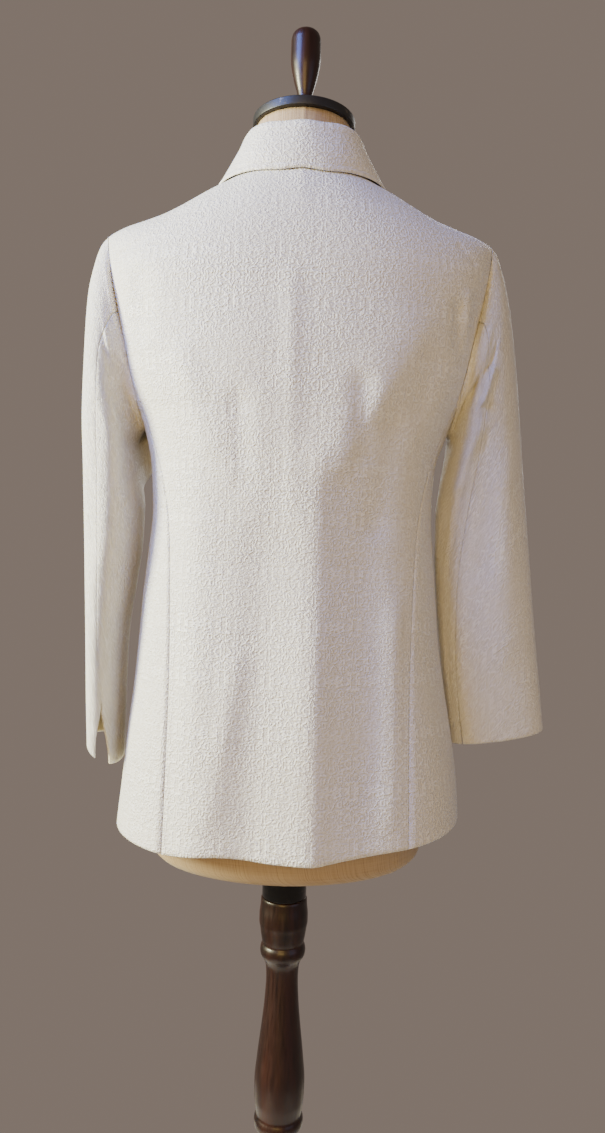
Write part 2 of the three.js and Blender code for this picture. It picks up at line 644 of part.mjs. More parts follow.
// A place on a sleeve: the angle runs from its outer edge by way of the back.
function sleevePoint(hand, curves, folds, angle, v) {
  const at = (column) => curves[column](v);
  const c = Math.cos(angle * RAD);
  const s = Math.sin(angle * RAD);
  const middle = new THREE.Vector3((at('outX') + at('inX')) / 2, 0, (at('outZ') + at('inZ')) / 2);
  const outward = new THREE.Vector3((at('outX') - at('inX')) / 2, 0, (at('outZ') - at('inZ')) / 2);
  const lift = sleeveFold(folds, angle, v);
  const radial = Math.hypot(outward.length() * c, at('back') * s);
  const swell = 1 + lift / Math.max(radial, LEAST_RADIUS);
  const deep = (s > 0 ? at('back') : at('front')) * s * swell;
  const point = middle.addScaledVector(outward, c * swell);
  const free = new THREE.Vector3(hand * (point.x + ARMHOLE_GAP), deep, point.z);
  const ring = armholePoint(hand, ((angle % 360) + 360) % 360);
  ring.x += hand * (ARMHOLE_GAP + UNDERARM_GAP * (1 - c) / 2);
  return ring.lerp(free, smoothstep(0, SLEEVE_HEAD, v));
}

function sleeveFold(folds, angle, v) {
  return folds.reduce((sum, fold) => {
    const t = (v - fold.v0) / (fold.v1 - fold.v0);
    const { out, in: inner } = SLEEVE_FOLD_FADE;
    const fade = smoothstep(-out, inner, t) * (1 - smoothstep(1 - inner, 1 + out, t));
    const across = (angle - lerp(fold.a0, fold.a1, clamp(t, 0, 1))) / fold.width;
    return sum + fold.height * fade * Math.exp(-across * across);
  }, 0);
}

// A sleeve's sections as curves of the distance along it, from 0 at the armhole to 1 at the cuff.
function sleeveCurves(rows) {
  const head = { outX: ARMHOLE_TOP_X, outZ: ARMHOLE_TOP, inX: armholeX(ARMHOLE_BOTTOM), inZ: ARMHOLE_BOTTOM };
  const placed = rows.map((row, i) => ({ ...row, v: (i + 1) / rows.length }));
  placed.unshift({ ...rows[0], ...head, v: 0 });
  return Object.fromEntries(Object.keys(rows[0]).map((name) => [name, curve(placed, 'v', name)]));
}

function halfSection(curves, v) {
  return Math.hypot(curves.outX(v) - curves.inX(v), curves.outZ(v) - curves.inZ(v)) / 2;
}

function sleevePiece(hand, rows, folds, under) {
  const curves = sleeveCurves(rows);
  const vent = hand > 0 ? VENT.left : VENT.right;
  const pointAt = (s, v) => {
    const elbow = curves.elbow(v);
    const inseam = curves.inseam(v);
    const gap = lerp(SLEEVE_SEAM.head, SLEEVE_SEAM.low, smoothstep(0, SLEEVE_SEAM.from, v));
    const half = gap / halfSection(curves, v) / RAD;
    const open = vent * smoothstep(VENT.start, 1, v);
    const from = under ? elbow + half + open : inseam - 360 + half;
    const to = under ? inseam - half : elbow - half - open;
    return sleevePoint(hand, curves, folds, lerp(from, to, s), v);
  };
  const columns = under ? COLUMNS.sleeveUnder : COLUMNS.sleeveTop;
  return wall(mirrored(pointAt, hand), steps(columns), SLEEVE_ROWS, SLEEVE_ROWS[1]);
}

// The height of the back's surface above the chest at a place seen from above.
function backHeight(x, y) {
  let [low, high] = [0, 1];
  for (let i = 0; i < 20; i += 1) {
    const turn = (low + high) / 2;
    if (depthFromTurn('back', x, turn) > y) {
      low = turn;
    } else {
      high = turn;
    }
  }
  return lerp(CHEST, shoulderZ(Math.abs(x)), rise(low));
}

// One section of the collar round the back: the neck seam, the stand, the roll and the fall.
function collarBackSection(column, angle) {
  const a = Math.abs(angle) * RAD;
  const hand = Math.sign(angle) || 1;
  const out = new THREE.Vector3(hand * Math.sin(a), Math.cos(a), 0);
  const neckX = NECK.side * Math.sin(a);
  const seam = highPoint('back', hand * neckX, neckTurn(neckX));
  const neck = seam.clone().addScaledVector(out, -CLOTH);
  neck.z += 2 * SEAM_GAP;
  const roll = seam.clone().addScaledVector(out, column.rollOut(Math.abs(angle)));
  roll.z += column.rollUp(Math.abs(angle));
  const edge = seam.clone().addScaledVector(out, column.edgeOut(Math.abs(angle)));
  edge.z = backHeight(edge.x, edge.y) + COLLAR_LIFT;
  const bulge = column.bulge(Math.abs(angle));
  const falls = FALL_BACK.map((t) => roll.clone().lerp(edge, t).addScaledVector(out, bulge));
  return [neck, ...rollPoints(neck, roll, out), ...falls, edge];
}

// A place on the front, moved straight out of its surface.
function offFront(x, z, lift) {
  const at = (dx, dz) => surfacePoint('front', x + dx, z + dz);
  const across = at(-NUDGE, 0).sub(at(NUDGE, 0));
  const up = at(0, 0).sub(at(0, -NUDGE));
  const out = across.cross(up).normalize();
  return at(0, 0).addScaledVector(out, -lift * Math.sign(out.y));
}

// Down the front the fall lies on the front's own surface.
function collarFrontSection(row, hand, last) {
  const neckX = frontEdge(hand, row.neckZ);
  const seam = surfacePoint('front', neckX, row.neckZ);
  const out = new THREE.Vector3(hand * ROLL_OUT_FRONT.x, ROLL_OUT_FRONT.y, 0);
  const neck = seam.clone();
  neck.x -= hand * SEAM_GAP * 3;
  neck.y -= CLOTH;
  const roll = new THREE.Vector3(neckX - hand * row.rollIn, seam.y - row.rollOut, row.neckZ + row.rollUp);
  const fall = FALL_FRONT;
  const between = {
    x: lerp(Math.abs(neckX), row.edgeX, fall.far),
    z: lerp(row.neckZ, row.edgeZ, fall.farDown),
  };
  const via = last ? NOTCH : between;
  const nearX = lerp(Math.abs(neckX), via.x, fall.near);
  const nearZ = lerp(row.neckZ, via.z, fall.nearDown);
  const near = offFront(hand * nearX, nearZ, COLLAR_LIFT + fall.nearLift);
  const far = offFront(hand * via.x, via.z, COLLAR_LIFT + fall.farLift);
  const edge = offFront(hand * row.edgeX, row.edgeZ, COLLAR_LIFT);
  return [neck, ...rollPoints(neck, roll, out), near, far, edge];
}

// The stand's middle, and the fold of the roll line.
function rollPoints(neck, roll, out) {
  const stand = neck.clone().lerp(roll, 0.5);
  const inner = roll.clone().addScaledVector(out, -ROLL_HALF);
  const outer = roll.clone().addScaledVector(out, ROLL_HALF);
  inner.z -= ROLL_HALF;
  outer.z -= ROLL_HALF;
  return [stand, inner, roll, outer];
}

// The collar: a strip folded along its roll line, with its stand inside and its fall outside.
function collar() {
  const column = {};
  ['rollOut', 'rollUp', 'edgeOut', 'bulge'].forEach((name) => {
    column[name] = curve(COLLAR_BACK, 'angle', name);
  });
  const half = (hand) => [
    ...[...COLLAR_FRONT].reverse().map((row, i) => collarFrontSection(row, hand, i === 0)),
    ...COLLAR_BACK_ANGLES.map((angle) => collarBackSection(column, hand * angle)),
  ];
  const sections = [...half(1), ...half(-1).reverse().slice(1)];
  const lines = sections[0].map((_, k) => new THREE.CatmullRomCurve3(sections.map((section) => section[k])));
  const pointAt = (s, v) => new THREE.CatmullRomCurve3(lines.map((line) => line.getPoint(s))).getPoint(v);
  const last = sections[0].length - 1;
  return wall(pointAt, steps(sections.length - 1), COLLAR_ROWS.map((k) => k / last));
}

// The linen covered torso and neck.
function torso() {
  const rings = FORM.map((row) =>
    steps(FORM_SIDES).slice(1).map((turn) => {
      const angle = turn * 2 * Math.PI;
      const depth = Math.sin(angle) > 0 ? row.back : row.front;
      return new THREE.Vector3(row.wide * Math.cos(angle), depth * Math.sin(angle), row.z);
    }),
  );
  return loft(rings);
}

// The one button, on the outer front.
function coveredButton() {
  const { z, radius, thick, edge, edgeIn, domeShare } = BUTTON;
  const rows = [
    { z: 0, radius: radius - edgeIn },
    { z: edge, radius },
    { z: thick / 2, radius },
    { z: thick, radius: radius * domeShare },
  ];
  const seat = surfacePoint('front', 0, z, RIGHT_FRONT_LIFT + LAYER_GAP);
  return turned(rows).rotateX(Math.PI / 2).translate(seat.x, seat.y, seat.z);
}

// The plate on the neck and the ring under the form: discs with rounded edges.
function disc({ bottom, top, radius, edge }) {
  return turned([
    { z: bottom, radius: radius - edge },
    { z: bottom + edge, radius },
    { z: top - edge, radius },
    { z: top, radius: radius - edge },
  ]);
}

function finial() {
  return turned(FINIAL.map((row) => ({ z: CAP.top + SEAM_GAP + row.z, radius: row.radius })));
}

function pole() {
  return turned(POLE.map((row) => ({ z: POLE_TOP - row.down, radius: row.radius })));
}

const finish = {
  cloth: { color: 0xd8d2c6, roughness: 0.62, metalness: 0 },
  linen: { color: 0xb9a68a, roughness: 0.85, metalness: 0 },
  blackMetal: { color: 0x1d1d1f, roughness: 0.45, metalness: 0.3 },
  blackPaint: { color: 0x121214, roughness: 0.2, metalness: 0 },
  wood: { color: 0x3d1d14, roughness: 0.35, metalness: 0 },
};

const blazer = new THREE.Group();

function add(name, geometry, look) {
  const mesh = new THREE.Mesh(geometry, new THREE.MeshStandardMaterial(finish[look]));
  mesh.name = name;
  blazer.add(mesh);
}

add('back', backPanel(), 'cloth');
add('side_left', sidePanel(1), 'cloth');
add('side_right', sidePanel(-1), 'cloth');
add('front_left', frontPanel(1), 'cloth');
add('front_right', frontPanel(-1), 'cloth');
add('lapel_left', lapel(1), 'cloth');
add('lapel_right', lapel(-1), 'cloth');
add('sleeve_top_left', sleevePiece(1, SLEEVE_LEFT, SLEEVE_LEFT_FOLDS, false), 'cloth');
add('sleeve_under_left', sleevePiece(1, SLEEVE_LEFT, SLEEVE_LEFT_FOLDS, true), 'cloth');
add('sleeve_top_right', sleevePiece(-1, SLEEVE_RIGHT, SLEEVE_RIGHT_FOLDS, false), 'cloth');
add('sleeve_under_right', sleevePiece(-1, SLEEVE_RIGHT, SLEEVE_RIGHT_FOLDS, true), 'cloth');

add('collar', collar(), 'cloth');
add('button', coveredButton(), 'cloth');
add('form_torso', torso(), 'linen');
add('form_neck_cap', disc(CAP), 'blackMetal');
add('form_finial', finial(), 'wood');
add('pole_collar', disc(POLE_COLLAR), 'blackPaint');
add('pole', pole(), 'wood');
add('base', turned(BASE), 'wood');

export default blazer;
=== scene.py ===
"""A jacquard blazer on a limbless linen dress form, seen from the back.

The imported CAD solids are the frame. Each piece of cloth is made here again as a fine thin shell on
its solid's own surface, with the creases of the garment as it hangs. Sizes in the tables are
millimetres, +Z is up, the garment's front faces -Y and the wearer's left is +X.
"""

import logging
import math
from collections.abc import Callable, Sequence
from dataclasses import dataclass, field
from enum import Enum

import bpy
import numpy as np
from mathutils import Matrix


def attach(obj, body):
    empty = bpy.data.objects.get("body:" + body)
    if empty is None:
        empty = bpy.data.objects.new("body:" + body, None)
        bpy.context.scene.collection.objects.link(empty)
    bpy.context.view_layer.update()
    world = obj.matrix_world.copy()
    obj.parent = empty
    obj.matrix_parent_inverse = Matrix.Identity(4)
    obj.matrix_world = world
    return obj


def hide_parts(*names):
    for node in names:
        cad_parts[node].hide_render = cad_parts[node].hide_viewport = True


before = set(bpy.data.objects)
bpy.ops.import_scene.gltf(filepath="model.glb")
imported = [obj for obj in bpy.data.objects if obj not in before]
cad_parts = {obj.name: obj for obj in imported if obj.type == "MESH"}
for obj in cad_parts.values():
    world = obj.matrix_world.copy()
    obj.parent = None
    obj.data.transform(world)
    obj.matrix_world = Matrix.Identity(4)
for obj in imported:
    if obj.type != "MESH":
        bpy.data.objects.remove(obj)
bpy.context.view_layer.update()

LOG = logging.getLogger("blazer")

Array = np.ndarray

MM = 0.001
CLOTH = 2.0
ROUND_SIDES = 128
SEAM_GAP = 0.06
LAYER_GAP = 0.5


class Side(Enum):
    """The back or the front of the garment, with the sign of its direction along Y."""

    BACK = 1.0
    FRONT = -1.0


class Hand(Enum):
    """The wearer's left or right, with the sign of its direction along X."""

    LEFT = 1.0
    RIGHT = -1.0

    @property
    def word(self) -> str:
        """The word for it in the names of nodes and pieces."""
        return self.name.lower()


class Curve:
    """A smooth curve through points, straight beyond its ends and never past a turning point."""

    def __init__(self, keys: Sequence[float], values: Sequence[float]) -> None:
        """Works out the slopes.

        Args:
            keys: the places, rising.
            values: the curve's value at each place.
        """
        self.keys = np.asarray(keys, float)
        self.values = np.asarray(values, float)
        self.slopes = np.diff(self.values) / np.diff(self.keys)
        before, after = self.slopes[:-1], self.slopes[1:]
        total = np.where(before + after == 0, 1, before + after)
        inner = np.where(before * after <= 0, 0, 2 * before * after / total)
        self.tangents = np.concatenate([self.slopes[:1], inner, self.slopes[-1:]])

    def __call__(self, at: Array | float) -> Array:
        """The curve's values.

        Args:
            at: the places, of any shape.

        Returns:
            The values there, in the same shape.
        """
        at = np.asarray(at, float)
        i = np.clip(np.searchsorted(self.keys, at, side="right") - 1, 0, len(self.slopes) - 1)
        step = self.keys[i + 1] - self.keys[i]
        t = np.clip((at - self.keys[i]) / step, 0, 1)
        bend = self.values[i] * (2 * t**3 - 3 * t**2 + 1) + self.values[i + 1] * (3 * t**2 - 2 * t**3)
        bend += step * self.tangents[i] * (t**3 - 2 * t**2 + t)
        bend += step * self.tangents[i + 1] * (t**3 - t**2)
        below = np.minimum(at - self.keys[0], 0) * self.slopes[0]
        above = np.maximum(at - self.keys[-1], 0) * self.slopes[-1]
        return bend + below + above


class Table:
    """Rows of sizes under named columns."""

    def __init__(self, columns: str, rows: Sequence[Sequence[float]]) -> None:
        """Keeps the rows by column.

        Args:
            columns: the columns' names, apart by spaces.
            rows: the rows of sizes.
        """
        self.columns = dict(zip(columns.split(), np.array(rows, float).T))

    def curve(self, key: str, column: str) -> Curve:
        """One column as a smooth curve of another."""
        return Curve(self.columns[key], self.columns[column])


def lerp(a: Array | float, b: Array | float, t: Array | float) -> Array:
    """The value a share t of the way from a to b."""
    return a + (b - a) * t


def smoothstep(start: float, end: float, value: Array | float) -> Array:
    """A soft step from 0 at start to 1 at end."""
    t = np.clip((np.asarray(value, float) - start) / (end - start), 0, 1)
    return t * t * (3 - 2 * t)


def spread(columns: int, rows: int) -> tuple[Array, Array]:
    """An even grid of places on a piece.

    Args:
        columns: the steps across it.
        rows: the steps along it.

    Returns:
        The places across and along, from 0 to 1, each as an array of rows by columns.
    """
    return np.meshgrid(np.linspace(0, 1, columns + 1), np.linspace(0, 1, rows + 1))


@dataclass(frozen=True)
class Crease:
    """A soft ridge, or a trough where its height is below 0, from one place to another.

    far is its width on the side that lies to the right of it when seen from behind, looking down it.
    It fades out over a share end_fade of its length on either side of each end.
    """

    x0: float
    z0: float
    x1: float
    z1: float
    width: float
    height: float
    to_hem: bool = False
    far: float = 0
    end_fade: float = 0.12

    def lift(self, x: Array, z: Array) -> Array:
        """How far it lifts the cloth at each place."""
        along_x, along_z = self.x1 - self.x0, self.z1 - self.z0
        t = ((x - self.x0) * along_x + (z - self.z0) * along_z) / (along_x**2 + along_z**2)
        fade = smoothstep(-self.end_fade, self.end_fade, t)
        if not self.to_hem:
            fade = fade * (1 - smoothstep(1 - self.end_fade, 1 + self.end_fade, t))
        near = np.clip(t, 0, 1)
        # Two slow waves along it, out of step from crease to crease, keep its height uneven.
        uneven = 1 + 0.22 * np.sin(5.3 * near + 0.11 * self.x0) + 0.1 * np.sin(13 * near + self.width)
        off_x, off_z = x - lerp(self.x0, self.x1, near), z - lerp(self.z0, self.z1, near)
        beyond = smoothstep(-2, 2, (off_x * along_z - off_z * along_x) / np.hypot(along_x, along_z))
        width = lerp(self.width, self.far or self.width, beyond)
        return self.height * fade * uneven * np.exp(-((np.hypot(off_x, off_z) / width) ** 2))


@dataclass
class BodySurface:
    """The outer surface of the body of the garment, the same as that of its solids."""

    rings: Table = field(
        default_factory=lambda: Table(
            "z left right back front",
            [
                (730, 184, 189.5, 138, 140),
                (760, 183, 187, 136, 138),
                (815, 178, 183.5, 131, 134),
                (870, 173, 176, 126, 130),
                (920, 167.5, 167, 121, 127),
                (965, 164, 160, 116, 124),
                (1010, 161, 156, 111, 121),
                (1055, 156.5, 152, 107.5, 119),
                (1100, 152.5, 148.5, 107, 120),
                (1145, 154.5, 150, 109.5, 126),
                (1192, 164, 164, 112, 132),
                (1225, 178, 178, 113, 132),
                (1260, 188, 188, 113, 129),
                (1300, 196, 196, 111, 122),
                (1320, 200, 200, 110, 118),
            ],
        )
    )
    shoulder: Curve = field(
        default_factory=lambda: Curve(
            (0, 40, 80, 100, 115, 130, 145, 165, 184, 203, 212),
            (1482, 1472, 1452, 1441, 1432, 1423.5, 1416.5, 1410, 1405, 1398, 1393),
        )
    )
    armhole: Curve = field(
        default_factory=lambda: Curve(
            (1192, 1205, 1225, 1250, 1275, 1300, 1335, 1360, 1380, 1400),
            (164, 166.5, 169.5, 175.5, 181, 187.5, 195.5, 200, 203.5, 207.5),
        )
    )
    side_back: Curve = field(
        default_factory=lambda: Curve(
            (730, 900, 1040, 1085, 1130, 1170, 1200, 1225, 1250),
            (120, 119, 123, 126, 134, 147, 159, 169.5, 175.5),
        )
    )
    side_front: Curve = field(
        default_factory=lambda: Curve(
            (730, 900, 1040, 1100, 1150, 1190, 1225, 1250),
            (150, 140, 130, 132, 143, 157, 169.5, 175.5),
        )
    )
    hem: Curve = field(
        default_factory=lambda: Curve(
            (-190, -125, -62, -22, 10, 65, 118, 190),
            (769, 775, 769, 765.5, 765.5, 769, 764.5, 757),
        )
    )
    roundness: float = 2.4
    shoulder_roundness: float = 2.2
    chest: float = 1320
    armhole_bottom: float = 1192
    armhole_top_x: float = 207.5
    side_seam_top: float = 1226
    hem_level: float = 766
    neck_side: float = 80
    neck_back: float = 68
    fold_margin: float = 16
    low_part: float = 0.7

    def __post_init__(self) -> None:
        """Reads the tables as curves."""
        self.half = {hand: self.rings.curve("z", hand.word) for hand in Hand}
        self.deep = {side: self.rings.curve("z", side.name.lower()) for side in Side}
        self.armhole_top = float(self.shoulder(self.armhole_top_x))
        self.creases: dict[Side, Sequence[Crease]] = {Side.BACK: (), Side.FRONT: ()}

    def half_width(self, x: Array, z: Array) -> Array:
        """Half the body's width at a height, on the side that x is on."""
        return np.where(np.asarray(x) >= 0, self.half[Hand.LEFT](z), self.half[Hand.RIGHT](z))

    def ring_depth(self, side: Side, x: Array, z: Array) -> Array:
        """The depth of the plain surface below the chest."""
        out = np.minimum(1, np.abs(x) / self.half_width(x, z))
        return self.deep[side](z) * (1 - out**self.roundness) ** (1 / self.roundness)

    def side_x(self, hand: Hand, y: Array, z: Array) -> Array:
        """How far out the plain surface lies below the chest, at a depth and height."""
        deep = np.where(y >= 0, self.deep[Side.BACK](z), self.deep[Side.FRONT](z))
        share = np.clip(1 - (np.abs(y) / deep) ** self.roundness, 0, 1)
        return self.half[hand](z) * share ** (1 / self.roundness)

    def rise(self, turn: Array) -> Array:
        """The share of the way up from chest to shoulder line at a turn from 0 to 1."""
        return np.sin(np.clip(turn, 0, 1) * math.pi / 2) ** (2 / self.shoulder_roundness)

    def edge_z(self, turn: Array) -> Array:
        """The armhole's height at a turn."""
        return lerp(self.chest, self.armhole_top, self.rise(turn))

    def turn_at(self, x: Array, z: Array) -> Array:
        """The turn from chest to shoulder line at a height."""
        up = np.clip((z - self.chest) / (self.shoulder(np.abs(x)) - self.chest), 0, 1)
        return np.arcsin(up ** (self.shoulder_roundness / 2)) * 2 / math.pi

    def depth_from_turn(self, side: Side, x: Array, turn: Array) -> Array:
        """The depth of the surface above the chest, which rolls over to the shoulder line."""
        chest_x = x / self.armhole(self.edge_z(turn)) * self.armhole(self.chest)
        over = np.cos(np.clip(turn, 0, 1) * math.pi / 2) ** (2 / self.shoulder_roundness)
        return self.ring_depth(side, chest_x, np.full_like(chest_x, self.chest)) * over

    def seam_x(self, side: Side, z: Array) -> Array:
        """How far out a panel reaches at a height."""
        seam = self.side_back if side is Side.BACK else self.side_front
        return np.where(z < self.side_seam_top, seam(z), self.armhole(z))

    def fold(self, side: Side, x: Array, z: Array, depth: Array) -> Array:
        """The lift of a panel's creases, flattened toward its seams and the shoulder line."""
        lift = np.zeros_like(x)
        for crease in self.creases[side]:
            lift = lift + crease.lift(x, z)
        inside = smoothstep(0, self.fold_margin, self.seam_x(side, z) - np.abs(x))
        return lift * inside * smoothstep(0, self.fold_margin, depth)

    def plain_depth(self, side: Side, x: Array, z: Array) -> Array:
        """The depth of the surface at any place, without creases."""
        high = self.depth_from_turn(side, x, self.turn_at(x, z))
        return np.where(z <= self.chest, self.ring_depth(side, x, z), high)

    def point(self, side: Side, x: Array, z: Array, lift: Array | float = 0) -> Array:
        """A place on the surface, with its creases."""
        plain = self.plain_depth(side, x, z)
        depth = plain + self.fold(side, x, z, plain) + lift
        return np.stack([x, side.value * depth, z], -1)

    def high_point(self, side: Side, x: Array, turn: Array, lift: Array | float = 0) -> Array:
        """A place above the chest, by its turn toward the shoulder line."""
        z = lerp(self.chest, self.shoulder(np.abs(x)), self.rise(turn))
        plain = self.depth_from_turn(side, x, turn)
        depth = plain + self.fold(side, x, z, plain) + lift + turn * SEAM_GAP / 2
        return np.stack([x, side.value * depth, z], -1)

    def neck_turn(self, x: Array) -> Array:
        """The turn at which the back ends in the neck seam."""
        share = np.clip(x / self.neck_side, 0, 1)
        chest = self.ring_depth(Side.BACK, x, np.full_like(x, self.chest))
        across = np.clip(self.neck_back * np.sqrt(1 - share**2) / np.maximum(chest, 1), 0, 1)
        return np.arccos(across ** (self.shoulder_roundness / 2)) * 2 / math.pi

    def panel_point(
        self,
        side: Side,
        v: Array,
        x_at: Callable[[Array, Array], Array],
        end_turn: Callable[[Array], Array],
        lift: Callable[[Array], Array | float],
    ) -> Array:
        """Places of a panel, from the hem up over the chest to the shoulder line.

        Args:
            side: the back or the front.
            v: the places along the panel, from 0 to 1.
            x_at: how far out each column lies at a height.
            end_turn: where each column ends.
            lift: how far the panel stands out at an x.

        Returns:
            The places, as rows by columns by three.
        """
        level = np.full_like(v, self.hem_level)
        z = lerp(self.hem(x_at(level, level)), self.chest, np.clip(v / self.low_part, 0, 1))
        x = x_at(z, z)
        low = self.point(side, x, z, lift(x))
        turn = np.clip((v - self.low_part) / (1 - self.low_part), 0, 1)
        rolled = lerp(self.chest, self.shoulder(self.neck_side), self.rise(turn))
        x = x_at(self.edge_z(turn), rolled)
        high = self.high_point(side, x, turn * end_turn(x), lift(x))
        return np.where((v <= self.low_part)[..., None], low, high)

    def armhole_point(self, hand: Hand, angle: Array) -> Array:
        """The ring of the armhole: 0 degrees is the shoulder, 90 the back and 180 the underarm."""
        share = (np.cos(np.radians(angle)) + 1) / 2
        z = lerp(self.armhole_bottom, self.armhole_top, share)
        x = hand.value * self.armhole(z)
        back = self.plain_depth(Side.BACK, x, z)
        front = -self.plain_depth(Side.FRONT, x, z)
        return np.stack([x, np.where(angle <= 180, back, front), z], -1)


@dataclass(frozen=True)
class Rim:
    """How far a shell's edges are rounded out, in order: the low, right, high and left edge."""

    low: float = 0
    right: float = 0
    high: float = 0
    left: float = 0


def directions(grid: Array) -> Array:
    """The outward direction at each place of a grid.

    Args:
        grid: places, as rows by columns by three.

    Returns:
        Unit vectors in the same shape.
    """
    out = np.cross(np.gradient(grid, axis=1), np.gradient(grid, axis=0))
    return out / np.maximum(np.linalg.norm(out, axis=-1, keepdims=True), 1e-9)


def arc_lengths(grid: Array, axis: int) -> Array:
    """The distance run along a grid's rows or columns, from its start."""
    steps = np.linalg.norm(np.diff(grid, axis=axis), axis=-1)
    return np.insert(np.cumsum(steps, axis=axis), 0, 0, axis=axis)


def pull_in(grid: Array, out: Array, edges: Rim, depth: float, reach: float) -> Array:
    """Draws the cloth in beside its seams, as a pressed and lined seam does.

    Args:
        grid: places, as rows by columns by three.
        out: the outward direction at each place.
        edges: 1 for each edge that is a seam.
        depth: how far the seam lies in.
        reach: how wide the dip is.

    Returns:
        The moved places.
    """
    along, across = arc_lengths(grid, 0), arc_lengths(grid, 1)
    dips = (
        edges.low * np.exp(-((along / reach) ** 2)),
        edges.high * np.exp(-(((along[-1:] - along) / reach) ** 2)),
        edges.left * np.exp(-((across / reach) ** 2)),
        edges.right * np.exp(-(((across[:, -1:] - across) / reach) ** 2)),
    )
    return grid - out * (depth * np.maximum.reduce(dips))[..., None]


def link_piece(name: str, mesh: bpy.types.Mesh) -> bpy.types.Object:
    """Puts a mesh in the scene as an object of its own."""
    mesh.update()
    piece = bpy.data.objects.new(name, mesh)
    bpy.context.scene.collection.objects.link(piece)
    return piece


def lay_chart(mesh: bpy.types.Mesh, flat: Array) -> None:
    """Gives a mesh its place on the flat cloth.

    Args:
        mesh: the mesh.
        flat: for each vertex, its place on the cloth in millimetres.
    """
    layer = mesh.uv_layers.new(name="cloth")
    corners = np.empty(len(mesh.loops), np.int32)
    mesh.loops.foreach_get("vertex_index", corners)
    layer.data.foreach_set("uv", (flat * MM)[corners].astype(np.float32).ravel())


def closed_rings(name: str, grid: Array) -> bpy.types.Object:
    """A smooth solid through rings of places, closed flat at both ends.

    Args:
        name: the piece's name.
        grid: the rings, as rings by places by three, in millimetres.

    Returns:
        The new object.
    """
    index = np.arange(grid.shape[0] * grid.shape[1]).reshape(grid.shape[:2])
    after = np.roll(index, -1, axis=1)
    faces = np.stack([index[:-1], after[:-1], after[1:], index[1:]], -1).reshape(-1, 4).tolist()
    faces += [index[0, ::-1].tolist(), index[-1].tolist()]
    mesh = bpy.data.meshes.new(name)
    mesh.from_pydata((grid.reshape(-1, 3) * MM).tolist(), [], faces)
    mesh.polygons.foreach_set("use_smooth", [True] * (len(faces) - 2) + [False, False])
    return link_piece(name, mesh)


def shell(
    name: str, grid: Array, chart: Array, rim: Rim, out: Array | None = None
) -> bpy.types.Object:
    """A closed thin wall of cloth: its face, its lining one thickness behind, and a rim between.

    Args:
        name: the piece's name.
        grid: places of the face, as rows by columns by three, in millimetres.
        chart: where each place lies on the flat cloth, in millimetres.
        rim: how far each edge is rounded out.
        out: the direction of the thickness, where it isn't the grid's own.

    Returns:
        The new object. Faces of material 1 are the lining.
    """
    rows, columns = grid.shape[:2]
    out = directions(grid) if out is None else out
    lining = grid - out * CLOTH
    index = np.arange(rows * columns).reshape(rows, columns)
    edge = np.concatenate([index[0, :-1], index[:-1, -1], index[-1, :0:-1], index[:0:-1, 0]])
    within = np.concatenate([index[1, :-1], index[:-1, -2], index[-2, :0:-1], index[:0:-1, 1]])
    sizes = (columns - 1, rows - 1, columns - 1, rows - 1)
    bulge = np.repeat((rim.low, rim.right, rim.high, rim.left), sizes)
    face, back = grid.reshape(-1, 3), lining.reshape(-1, 3)
    away = face[edge] - face[within]
    away /= np.maximum(np.linalg.norm(away, axis=1, keepdims=True), 1e-9)
    middle = (face[edge] + back[edge]) / 2 + away * bulge[:, None]
    count = rows * columns
    ring = 2 * count + np.arange(len(edge))
    after, ring_after = np.roll(edge, -1), np.roll(ring, -1)
    a, b, c, d = index[:-1, :-1], index[:-1, 1:], index[1:, 1:], index[1:, :-1]
    outer = np.stack([a, b, c, d], -1).reshape(-1, 4)
    quads = np.concatenate(
        [
            outer,
            outer[:, ::-1] + count,
            np.stack([after, edge, ring, ring_after], -1),
            np.stack([ring_after, ring, edge + count, after + count], -1),
        ]
    )
    mesh = bpy.data.meshes.new(name)
    points = np.concatenate([face, back, middle]) * MM
    mesh.from_pydata(points.tolist(), [], quads.tolist())
    flat = chart.reshape(-1, 2)
    lay_chart(mesh, np.concatenate([flat, flat, flat[edge]]))
    lined = np.zeros(len(quads), np.int32)
    lined[len(outer) : 2 * len(outer)] = 1
    mesh.polygons.foreach_set("material_index", lined)
    smooth = np.ones(len(quads), bool)
    smooth[2 * len(outer) :] = np.tile(bulge > 0, 2)
    mesh.polygons.foreach_set("use_smooth", smooth)
    return link_piece(name, mesh)


def dress(piece: bpy.types.Object, slot: str, nodes: Sequence[str], *materials: bpy.types.Material) -> None:
    """Puts a piece on the frame, in place of its solids, with its materials.

    Args:
        piece: the piece.
        slot: a material slot's name; not used.
        nodes: the solids that it stands for.
        materials: its materials, in order.
    """
    for material in materials:
        piece.data.materials.append(material)
    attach(piece, "root")
    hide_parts(*nodes)
    LOG.info("%s: %d faces", piece.name, len(piece.data.polygons))


